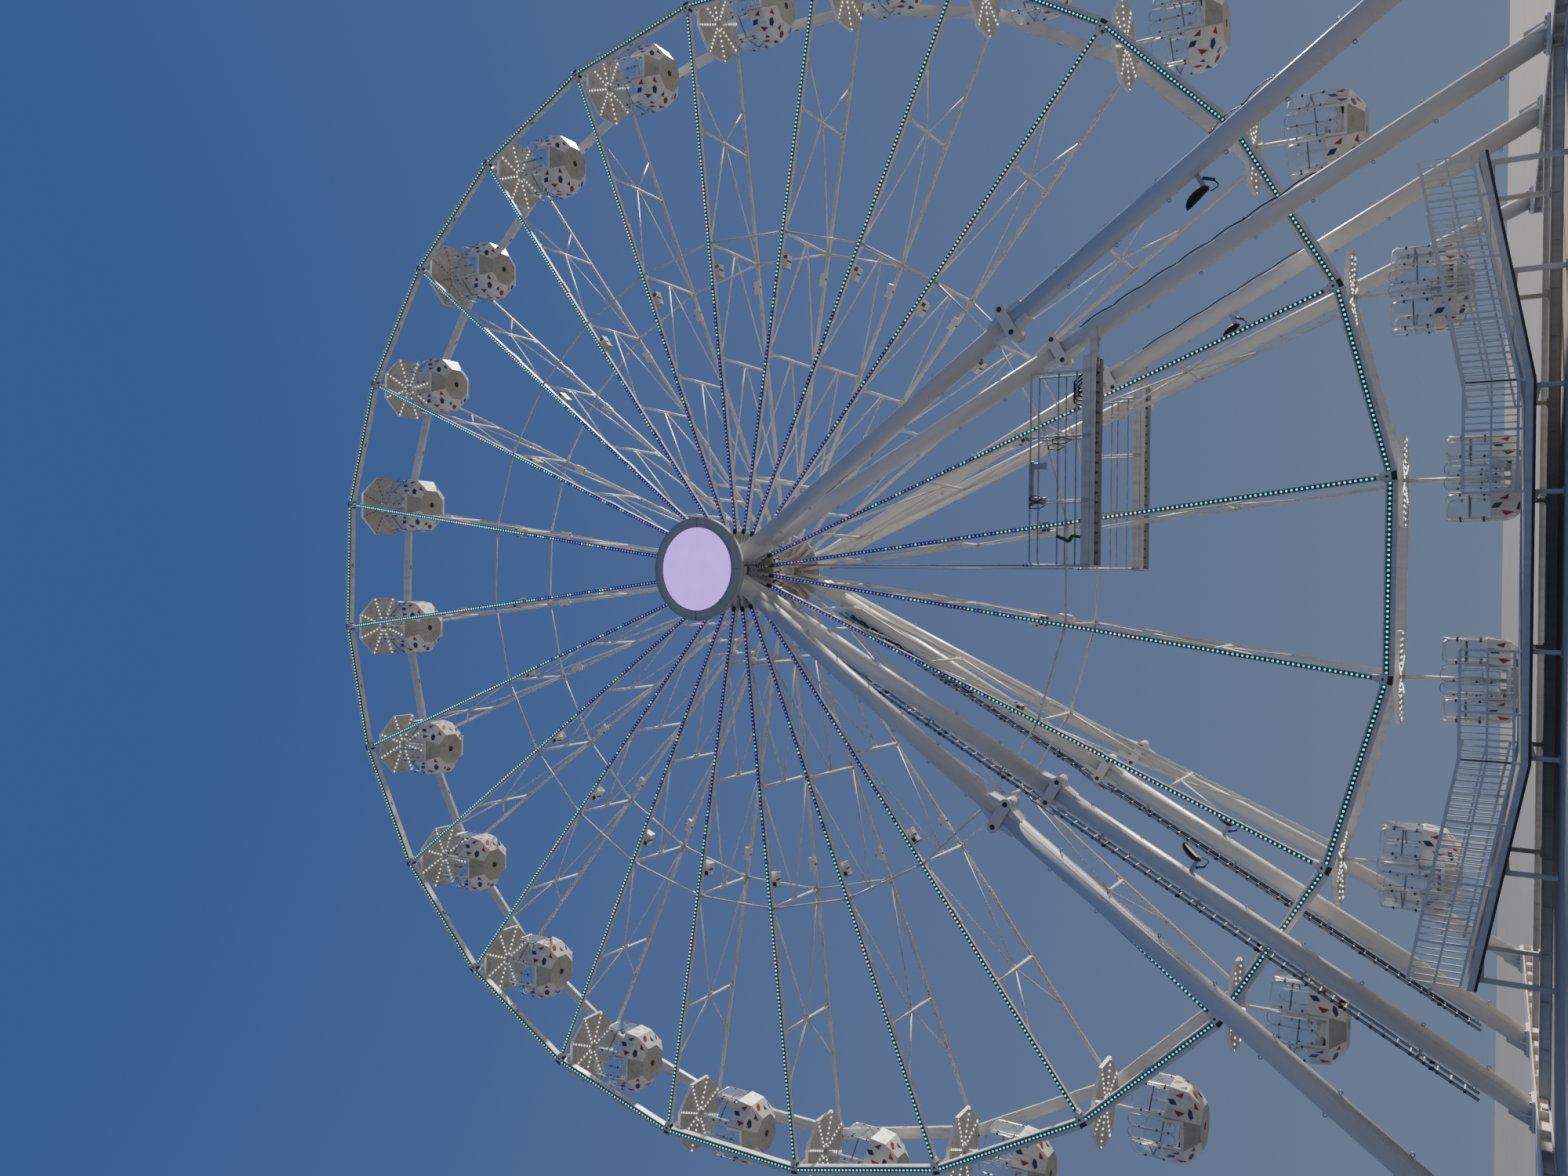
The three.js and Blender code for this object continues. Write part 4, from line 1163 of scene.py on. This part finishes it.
def make_leg(depth_side, x_side, place):
    top, foot = leg_ends(depth_side, x_side, place)
    along = (foot - top).normalized()
    side = along.cross(BACK).normalized()
    radius = LEG_R[place]
    start = top + along * (STUB_LENGTH + 0.002)
    end = top.lerp(foot, 1 - (BEAM_HEIGHT + 0.02) / HUB_Z)
    joint = top.lerp(foot, JOINT_SHARE)
    bm = bmesh.new()
    leg_joint(bm, joint, along, radius)
    seam = (along.cross(side) * 0.8 + side * 0.6).normalized()
    shift = seam * (radius - 0.002)
    for near, far, way in ((start, joint, -along), (end, joint, along)):
        rod(bm, near, far + way * 0.012, radius, "leg_paint", 48)
        beam(bm, near + shift, far + way * 0.5 + shift, 0.016, 0.008, "leg_paint", seam)
    steps = int((foot - top).length / EYELET_PITCH)
    for step in range(2, steps):
        spot = top.lerp(foot, step / steps)
        if (spot - joint).length > 0.6:
            for out in (-side, side):
                eyelet(bm, spot + out * radius, along, out)
    add_foot(bm, top.lerp(foot, 1 - (BEAM_HEIGHT + 0.03) / HUB_Z))
    name = f"leg_{end_of(depth_side)}_{'left' if x_side < 0 else 'right'}_{place}"
    for cable in LEG_CABLES.get(name, ()):
        festoon(bm, top, foot, side, radius, cable)
    if name in LEG_LAMPS:
        dish_lamp(bm, top.lerp(foot, LEG_LAMPS[name]), side * -x_side, radius)
    piece(name, bm, "stand")


def housing_mesh(y):
    """Bearing housing with cut upper corners and a bore along Y."""
    half = Vector(HEAD) / 2
    bm = bmesh.new()
    outline = [
        (-half.x, -half.z), (half.x, -half.z), (half.x, 0.22), (half.x - 0.2, half.z), (0.2 - half.x, half.z),
        (-half.x, 0.22),
    ]
    turns = [step * EIGHTH / 4 for step in range(32)]
    edges = []
    for loop in (outline, [(HEAD_BORE_R * math.cos(turn), HEAD_BORE_R * math.sin(turn)) for turn in turns]):
        verts = [bm.verts.new((x, y - half.y + 0.02, HUB_Z + up)) for x, up in loop]
        edges += [bm.edges.new(pair) for pair in zip(verts, verts[1:] + verts[:1])]
    bmesh.ops.triangle_fill(bm, use_beauty=True, use_dissolve=True, edges=edges)
    pull(bm, list(bm.faces), (0, HEAD[1] - 0.04, 0))
    bmesh.ops.recalc_face_normals(bm, faces=list(bm.faces))
    shade(bm.faces, "paint")
    return mesh_of(bm)


def make_head(depth_side):
    """Bearing head: housing with bearing caps and gussets, and the upper ends of four legs."""
    bm = bmesh.new()
    y = depth_side * HEAD_Y
    add_mesh(bm, housing_mesh(y))
    for side, step in product((-1, 1), range(16)):
        face = Vector((0, y + side * (HEAD[1] / 2 - 0.02), HUB_Z))
        bolt(bm, face + around(step * EIGHTH / 2) * 0.33, BACK * side, 0.03, 0.03)
    for x_side, (place, radius) in product((-1, 1), LEG_R.items()):
        top, foot = leg_ends(depth_side, x_side, place)
        along = (foot - top).normalized()
        end = top + along * STUB_LENGTH
        rod(bm, top + along * 0.42, end, radius, "leg_paint", 48)
        rod(bm, end - along * 0.03, end - along * 0.001, radius + 0.006, "leg_paint", 48)
    outline = [(0.44, 0.2), (0.44, -0.45), (0.78, -0.78)]
    for x_side, shift in product((-1, 1), (-0.25, 0.25)):
        plate(bm, [(x_side * x, y + shift, HUB_Z + up) for x, up in outline], 0.03, BACK, "paint_clean")
    post(bm, 0, y, (0.40, 0.3), HUB_Z - 0.55, HUB_Z - 0.5, "paint", 0.012)
    for x, along in product((-0.25, 0.25), (-0.24, 0.24)):
        low = Vector((x, y + along, HUB_Z - 0.62))
        rod(bm, low, low + UP * 0.08, 0.045, "dark_steel")
    piece(f"{end_of(depth_side)}_head", bm, "stand")


# Display

def make_display():
    bm = bmesh.new()
    disc(bm, DISC_FRONT + 0.02, DISC_BACK, DISC_R, "disc_ring", 72, HUB_Z)
    lip = DISC_R - 0.012
    lay = Matrix.Translation((0, DISC_FRONT + 0.02, HUB_Z)) @ Matrix.Rotation(QUARTER, 4, "X")
    ring = bmesh.ops.create_circle(bm, cap_ends=False, radius=lip, segments=72, matrix=lay)
    edges = list({edge for vert in ring["verts"] for edge in vert.link_edges})
    centre = Matrix.Translation((0, 0, HUB_Z))
    shrink = centre @ Matrix.Diagonal((SCREEN_R / lip, 1, SCREEN_R / lip, 1)) @ centre.inverted()
    for matrix in (Matrix.Translation((0, -0.02, 0)), shrink, Matrix.Translation((0, 0.03, 0))):
        made = bmesh.ops.extrude_edge_only(bm, edges=edges)["geom"]
        edges = [item for item in made if isinstance(item, bmesh.types.BMEdge)]
        verts = [item for item in made if isinstance(item, bmesh.types.BMVert)]
        bmesh.ops.transform(bm, matrix=matrix, verts=verts)
    bmesh.ops.recalc_face_normals(bm, faces=list(bm.faces))
    shade(bm.faces, "disc_ring", True)
    disc(bm, DISC_FRONT + 0.016, DISC_FRONT + 0.03, SCREEN_R, "screen", 72, HUB_Z)
    front = Vector((0, DISC_FRONT, HUB_Z))
    for way in (RIGHT, -RIGHT, -UP):
        seam = front - BACK * 0.0015
        beam(bm, seam + way * (SCREEN_R + 0.01), seam + way * (DISC_R - 0.02), 0.012, 0.004, "black_cable")
    for step in range(24):
        bolt(bm, front + around((step + 0.5) * STEP) * (DISC_R - 0.06), -BACK, 0.012, 0.005, "disc_ring")
    add_display_mount(bm)
    piece("display", bm, "stand")


def add_display_mount(bm):
    """Arms, braces and plates between the display and the bearing head, and boxes on the display's back."""
    back = -HEAD_Y - HEAD[1] / 2 - 0.001
    for x, up in product((-0.17, 0.17), (HUB_Z - 0.17, HUB_Z + 0.17)):
        beam(bm, (x, DISC_BACK, up), (x, back - 0.05, up), 0.08, 0.08, "paint", UP, 0.006)
    for up in (HUB_Z - 0.17, HUB_Z + 0.17):
        rod(bm, (-0.17, DISC_BACK + 0.05, up), (0.17, back - 0.1, up), 0.025, "paint", 8)
    block(bm, (-0.38, back - 0.06, HUB_Z - 0.38), (0.38, back, HUB_Z + 0.38), "paint_clean", 0.01)
    block(bm, (-0.22, DISC_BACK, HUB_Z - 0.22), (0.22, DISC_BACK + 0.04, HUB_Z + 0.22), "dark_steel", 0.01)
    for x, up in product((-0.31, 0.31), (HUB_Z - 0.31, HUB_Z + 0.31)):
        bolt(bm, (x, back - 0.06, up), -BACK, 0.035, 0.03)
    for step in (-1, 0, 1):
        x, low = step * 0.9, HUB_Z - 0.8 + step * 0.1
        block(bm, (x - 0.18, DISC_BACK, low), (x + 0.18, DISC_BACK + 0.09, low + 0.3), "dark_steel", 0.012)


# Ground frame

def make_beams():
    """Ground beams and cross beams, each of two flanges, two webs and stiffeners."""
    foot_x, half, length = FOOT_X * (1 - BEAM_HEIGHT / HUB_Z), BEAM_WIDTH / 2, BEAM_HALF_LENGTH
    for x, name in ((-foot_x, "left"), (foot_x, "right")):
        bm = bmesh.new()
        for low, high in ((0, 0.03), (BEAM_HEIGHT - 0.03, BEAM_HEIGHT - 0.001)):
            post(bm, x, 0, (half, length), low, high, "paint", 0.005)
        for shift in (-0.16, 0.16):
            post(bm, x + shift, 0, (0.015, length - 0.01), 0.02, BEAM_HEIGHT - 0.02, "paint")
        for y in spread(0.05 - length, length - 0.05, 20):
            post(bm, x, y, (half - 0.02, 0.01), 0.02, BEAM_HEIGHT - 0.02, "paint")
        piece(f"ground_beam_{name}", bm, "stand")
    reach = foot_x - half - 0.002
    for y in (-CROSS_BEAM_Y, CROSS_BEAM_Y):
        bm = bmesh.new()
        for low, high in ((0, 0.025), (0.175, 0.2)):
            post(bm, 0, y, (reach, 0.13), low, high, "paint", 0.004)
        for shift in (-0.06, 0.06):
            post(bm, 0, y + shift, (reach, 0.01), 0.02, 0.18, "paint")
        for x in spread(0.02 - reach, reach - 0.02, 22):
            post(bm, x, y, (0.008, 0.12), 0.02, 0.18, "paint")
        piece(f"cross_beam_{end_of(y)}", bm, "stand")


# Walkways, ropes and ladders

def walkway_side(bm, y, out):
    """Side channel of a walkway with its posts and rails."""
    inside, middle, deck_top = y - out * 0.03, y - out * 0.015, WALK_LOW + WALK_PLATE
    block(bm, (WALK_START, y, WALK_LOW + 0.13), (WALK_END, inside, deck_top), "aluminium", 0.005)
    low, high = (WALK_START, y - out * 0.012, WALK_LOW), (WALK_END, inside, WALK_LOW + 0.125)
    block(bm, low, high, "aluminium", 0.005)
    block(bm, (WALK_START, y + out * 0.01, deck_top - 0.1), (WALK_END, y, deck_top - 0.085), "aluminium")
    top = WALK_LOW + WALK_TOP_RAIL - 0.022
    for x in spread(WALK_START + 0.025, WALK_RAIL_END - 0.02, 3):
        post(bm, x, middle, (0.022, 0.022), WALK_LOW + 0.1, top + 0.002, "galvanised", 0.004)
        low, high = (x - 0.05, y + out * 0.012, WALK_LOW + 0.14), (x + 0.05, y + out * 0.002, deck_top - 0.02)
        block(bm, low, high, "galvanised", 0.003)
    bend_x = WALK_START + 0.16
    rail = [(WALK_RAIL_END, middle, top), (bend_x, middle, top)]
    for turn in (math.radians(degrees) for degrees in (22, 45, 68, 90)):
        rail.append((bend_x - 0.135 * math.sin(turn), middle, top - 0.135 * (1 - math.cos(turn))))
    rail.append((WALK_START + 0.025, middle, WALK_LOW + WALK_MID_RAIL))
    wire(bm, rail, 0.024, "galvanised", 2, smooth=False)
    for up in (WALK_LOW + WALK_MID_RAIL, deck_top + 0.14):
        rod(bm, (WALK_START, middle, up), (WALK_RAIL_END, middle, up), 0.02, "galvanised", 10)


def make_walkway(depth_side):
    bm = bmesh.new()
    near, far = depth_side * WALK_NEAR, depth_side * WALK_FAR
    walkway_side(bm, near, -depth_side)
    walkway_side(bm, far, depth_side)
    middle, half = (near + far) / 2, (WALK_FAR - WALK_NEAR) / 2 - 0.03
    for x in (WALK_START + 0.015, WALK_END - 0.015):
        post(bm, x, middle, (0.015, half), WALK_LOW + 0.03, WALK_LOW + WALK_PLATE - 0.03, "aluminium", 0.004)
    for x in spread(WALK_START + 0.1, WALK_END - 0.1, 20):
        post(bm, x, middle, (0.015, half), WALK_LOW + 0.09, WALK_LOW + 0.22, "dark_steel")
    centre, reach = (WALK_START + WALK_END) / 2, (WALK_END - WALK_START) / 2 - 0.02
    for y in spread(middle - half + 0.02, middle + half - 0.02, 11):
        post(bm, centre, y, (reach, 0.006), WALK_LOW + 0.22, WALK_LOW + 0.26, "galvanised")
    leg_x = FOOT_X * (1 - (WALK_LOW + 0.13) / HUB_Z)
    for y in (middle - 0.12, middle + 0.12):
        low, high = (WALK_END - 0.2, y - 0.04, WALK_LOW + 0.05), (leg_x, y + 0.04, WALK_LOW + 0.21)
        block(bm, low, high, "aluminium", 0.006)
    top = WALK_LOW + WALK_TOP_RAIL
    post(bm, WALK_START + 0.0225, middle, (0.0225, half), top - 0.045, top, "galvanised", 0.004)
    x, up = WALK_START + 0.03, WALK_LOW + WALK_MID_RAIL
    rod(bm, (x, middle - half, up), (x, middle + half, up), 0.02, "galvanised", 10)
    if depth_side < 0:
        add_walkway_gear(bm, far)
    piece(f"walkway_{end_of(depth_side)}", bm, "stand")


def add_walkway_gear(bm, y):
    """Box frame hung on the top rail, looped cables, a strap and a pile of cable."""
    top = WALK_LOW + WALK_TOP_RAIL
    block(bm, (1.62, y + 0.03, top - 0.10), (2.72, y + 0.13, top + 0.02), "galvanised", 0.01)
    for x in (1.66, 2.52):
        block(bm, (x, y + 0.03, top - 0.42), (x + 0.16, y + 0.12, top - 0.08), "galvanised", 0.01)
    for x, up, drop in ((1.62, 1.62, 0.42), (1.80, 1.61, 0.34), (3.05, 1.15, 0.42), (3.2, 1.05, 0.5)):
        bends = [(-0.06, -0.02, 0), (-0.08, -0.03, 0.6), (0, -0.03, 1), (0.07, -0.03, 0.5), (0.04, -0.02, 0)]
        points = [(x + across, y + back, WALK_LOW + up - drop * share) for across, back, share in bends]
        wire(bm, points, 0.012, "black_cable", closed=True)
    bends = [(0.86, 0, 0.92), (0.80, -0.02, 0.75), (0.72, 0, 0.62), (0.88, -0.02, 0.52), (0.84, 0, 0.34)]
    wire(bm, [(x, y + back, WALK_LOW + up) for x, back, up in bends], 0.048, "strap")
    bends = [(0, 0.1, 0.30), (0.06, 0.15, 0.56), (0.2, 0.2, 0.60), (0.42, 0.16, 0.30)]
    for step in range(5):
        x = 4.05 + step * 0.1
        wire(bm, [(x + across, y + back, WALK_LOW + up) for across, back, up in bends], 0.022, "black_cable")


def make_ropes():
    """Wire ropes from the walkways to the bearing heads, with end sockets and clamps."""
    x, low, high = WALK_START + 0.0225, WALK_LOW + WALK_TOP_RAIL + 0.001, HUB_Z - 0.501
    for depth_side, (place, out) in product((-1, 1), (("near", ROPE_NEAR), ("far", ROPE_FAR))):
        y = depth_side * out
        spans = [
            (low + 0.3, high - 0.25, 0.013, "rope_steel", 12), (low, low + 0.34, 0.022, "galvanised", 8),
            (high - 0.3, high, 0.022, "galvanised", 8),
        ]
        for up in (low + 0.1, low + 0.2, high - 0.2, high - 0.1):
            spans.append((up - 0.02, up + 0.02, 0.034, "dark_steel", 6))
        bm = bmesh.new()
        for start, end, radius, name, sides in spans:
            rod(bm, (x, y, start), (x, y, end), radius, name, sides)
        piece(f"rope_{end_of(depth_side)}_{place}", bm, "stand")


def ladder_part(bm, at, low, high):
    """One part of a ladder, with its rungs, brackets and clamps; at gives a place along, across and away."""
    for edge in (-LADDER_HALF, LADDER_HALF):
        beam(bm, at(low, edge, LADDER_OUT), at(high, edge, LADDER_OUT), 0.046, 0.054, "galvanised")
        # Thin dark strips on the inner and outer faces of each stile: painted shade of the open channel.
        for away in (LADDER_OUT - 0.024, LADDER_OUT + 0.024):
            beam(bm, at(low, edge - 0.012, away), at(high, edge - 0.012, away), 0.010, 0.034, "dark_steel")
    for along in spread(low, high, round((high - low) / RUNG_PITCH))[1:-1]:
        start, end = at(along, -LADDER_HALF - 0.03, LADDER_OUT), at(along, LADDER_HALF, LADDER_OUT)
        rod(bm, start, end, 0.016, "paint_clean", 8)
        place = at(along, -LADDER_HALF - 0.01, LADDER_OUT + 0.012)
        lump(bm, place, (0.028, 0.022, 0.028), "dark_steel", 0.006)
    for step in range(4):
        along = low + (step + 0.5) * (high - low) / 4
        for across in (-0.14, 0.14):
            start, end = at(along, across, LEG_R["inner"] - 0.05), at(along, across, LADDER_OUT - 0.01)
            beam(bm, start, end, 0.05, 0.02, "galvanised")
        start, end = at(along, -0.20, LADDER_OUT - 0.03), at(along, 0.20, LADDER_OUT - 0.03)
        beam(bm, start, end, 0.05, 0.02, "galvanised")
    for step, edge in product(range(int((high - low) / 2)), (-LADDER_HALF, LADDER_HALF)):
        place = at(low + 1.0 + step * 2, edge, LADDER_OUT + 0.01)
        lump(bm, place, (0.035, 0.03, 0.05), "black_cable", 0.008)


def make_ladder(depth_side):
    """Ladder on the outer side of a left inner leg, in two parts that two rails hold over the joint."""
    top, foot = leg_ends(depth_side, -1, "inner")
    up = (top - foot).normalized()
    out = Vector((-up.z, 0, up.x)).normalized()
    side = out.cross(up)
    joint = (1 - JOINT_SHARE) * (top - foot).length
    bm = bmesh.new()

    def at(along, across, away):
        return foot + up * along + side * across + out * away

    ladder_part(bm, at, LADDER_LOW, joint - LADDER_PARTING)
    ladder_part(bm, at, joint + LADDER_PARTING, LADDER_HIGH)
    for edge in (-0.20, 0.20):
        start, end = at(joint - 0.33, edge, LADDER_BRIDGE), at(joint + 0.33, edge, LADDER_BRIDGE)
        beam(bm, start, end, 0.036, 0.036, "galvanised")
        for along in (joint - 0.31, joint + 0.31):
            start, end = at(along, edge, LADDER_OUT), at(along, edge, LADDER_BRIDGE)
            beam(bm, start, end, 0.036, 0.036, "galvanised")
    for across, away, size in ((0.02, 0.37, 0.022), (0.07, 0.34, 0.014)) if depth_side > 0 else ():
        points = []
        for step, along in enumerate(spread(LADDER_LOW + 0.3, LADDER_HIGH - 0.3, 40)):
            over = 0.16 if abs(along - joint) < 0.35 else 0.0
            points.append(at(along, across + 0.015 * math.sin(step * 2.1), away + over))
        wire(bm, points, size, "black_cable", smooth=False)
    piece(f"ladder_{end_of(depth_side)}", bm, "stand")


# Boarding platform

def deck_z(x):
    share = max(0.0, (abs(x) - DECK_FLAT_X) / (DECK_END_X - DECK_FLAT_X))
    return DECK_FLAT_Z + share * (DECK_END_Z - DECK_FLAT_Z)


def deck_part(bm, stations, sides, low, high, name):
    """Board of the platform between two stations and two sides, which follows its slope."""
    start, end = stations
    middle = sum(sides) / 2
    outline = [(start, low), (end, low), (end, high), (start, high)]
    plate(bm, [(x, middle, deck_z(x) + up) for x, up in outline], sides[1] - sides[0], BACK, name)


def deck_guard(bm, x_side, y, start):
    """Picket guard along an edge of the platform."""
    stations = [x_side * x for x in sorted({start, DECK_FLAT_X, DECK_END_X - 0.04})]
    rails = [(GUARD_HEIGHT - 0.06, GUARD_HEIGHT, 0.06), (0.10, 0.15, 0.04), (0.54, 0.58, 0.03)]
    for span in zip(stations, stations[1:]):
        for low, high, thick in rails:
            deck_part(bm, span, (y - thick / 2, y + thick / 2), low, high, "paint_clean")
        count = int(abs(span[1] - span[0]) / PICKET_PITCH)
        for step, x in enumerate(spread(*span, count)):
            half, low = (0.011, 0.12) if step % 9 else (0.025, -DECK_SLAB / 2)
            post(bm, x, y, (half, 0.016), deck_z(x) + low, deck_z(x) + GUARD_HEIGHT - 0.03, "paint_clean")


def make_deck():
    bm = bmesh.new()
    stations = [-DECK_END_X, -DECK_FLAT_X, DECK_FLAT_X, DECK_END_X]
    middle = (DECK_OUTER + DECK_INNER) / 2
    for span in zip(stations, stations[1:]):
        deck_part(bm, span, (DECK_OUTER + 0.02, DECK_INNER - 0.02), -DECK_SLAB, -0.022, "paint")
        deck_part(bm, span, (DECK_OUTER + 0.04, DECK_INNER - 0.04), -0.021, 0.0, "tread")
        for y in (DECK_OUTER, DECK_INNER - 0.04):
            deck_part(bm, span, (y, y + 0.04), 0.012 - DECK_SLAB, 0.012, "paint")
            deck_part(bm, span, (y + 0.004, y + 0.036), -DECK_SLAB - 0.04, 0.01 - DECK_SLAB, "dark_steel")
        for x in spread(*span, int((span[1] - span[0]) / 1.1))[1:-1]:
            half = (DECK_INNER - DECK_OUTER) / 2 - 0.05
            post(bm, x, middle, (0.006, half), deck_z(x) - 0.01, deck_z(x) + 0.004, "dark_steel")
    for x_side, out in product((-1, 1), (1.5, 3.5, 5.7, 7.8)):
        x, top = x_side * out, deck_z(out)
        for y, foot in ((DECK_POSTS_Y[0], 0.201), (DECK_POSTS_Y[1], 0.0)):
            post(bm, x, y, (0.045, 0.045), foot, top - DECK_SLAB, "paint", 0.006)
            post(bm, x, y, (0.09, 0.09), foot, foot + 0.02, "galvanised", 0.003)
        ends = [(x, y, top - 0.2) for y in DECK_POSTS_Y]
        beam(bm, *ends, 0.05, 0.08, "paint", UP)
    for x_side in (-1, 1):
        deck_guard(bm, x_side, DECK_OUTER + 0.04, GATE_X)
        deck_guard(bm, x_side, DECK_INNER - 0.04, DECK_FLAT_X)
    piece("boarding_deck", bm, "stand")


# Stage

def make_floor():
    bm = bmesh.new()
    bmesh.ops.create_grid(bm, x_segments=2, y_segments=2, size=FLOOR_HALF)
    shade(bm.faces, "floor")
    made_object("floor", bm)


def make_world():
    """Plain studio surround, paler towards the horizon."""
    world = bpy.data.worlds.new("studio")
    bpy.context.scene.world = world
    world.use_nodes = True
    tree = world.node_tree
    background = next(node for node in tree.nodes if node.type == "BACKGROUND")
    place = tree.nodes.new("ShaderNodeTexCoord")
    split = tree.nodes.new("ShaderNodeSeparateXYZ")
    tree.links.new(place.outputs["Generated"], split.inputs["Vector"])
    tint = ramp(tree, split.outputs["Z"], (0.155, 0.20, 0.295), (0.045, 0.10, 0.30), 0.0, 0.85)
    tree.links.new(tint, background.inputs["Color"])
    background.inputs["Strength"].default_value = 1.0


def make_sun():
    data = bpy.data.lights.new("key", "SUN")
    data.energy = SUN_STRENGTH
    data.angle = SUN_WIDTH
    data.color = SUN_COLOUR
    made = bpy.data.objects.new("key", data)
    made.rotation_euler = SUN_WAY.to_track_quat("-Z", "Y").to_euler()
    bpy.context.scene.collection.objects.link(made)


def make_camera():
    data = bpy.data.cameras.new("camera")
    data.sensor_fit = "HORIZONTAL"
    data.sensor_width = 36
    data.lens = CAMERA_LENS
    data.clip_end = 500
    level = Vector((math.sin(CAMERA_YAW), math.cos(CAMERA_YAW), 0))
    right = Vector((math.cos(CAMERA_YAW), -math.sin(CAMERA_YAW), 0))
    ahead = level * math.cos(CAMERA_TILT) + UP * math.sin(CAMERA_TILT)
    up = UP * math.cos(CAMERA_TILT) - level * math.sin(CAMERA_TILT)
    right_rolled = right * math.cos(CAMERA_ROLL) + up * math.sin(CAMERA_ROLL)
    up_rolled = up * math.cos(CAMERA_ROLL) - right * math.sin(CAMERA_ROLL)
    place = Matrix((-up_rolled, right_rolled, -ahead)).transposed().to_4x4()
    place.translation = CAMERA_PLACE
    made = bpy.data.objects.new("camera", data)
    made.matrix_world = place
    bpy.context.scene.collection.objects.link(made)
    bpy.context.scene.camera = made


make_camera()
make_palette()
make_world()
make_sun()
make_rim(RIM_FRONT, "front")
make_rim(RIM_REAR, "rear")
make_spokes()
make_hub()
make_cabins()
for depth in (-1, 1):
    make_head(depth)
    make_walkway(depth)
    make_ladder(depth)
    for width, kind in product((-1, 1), LEG_R):
        make_leg(depth, width, kind)
make_display()
make_beams()
make_ropes()
make_deck()
make_floor()
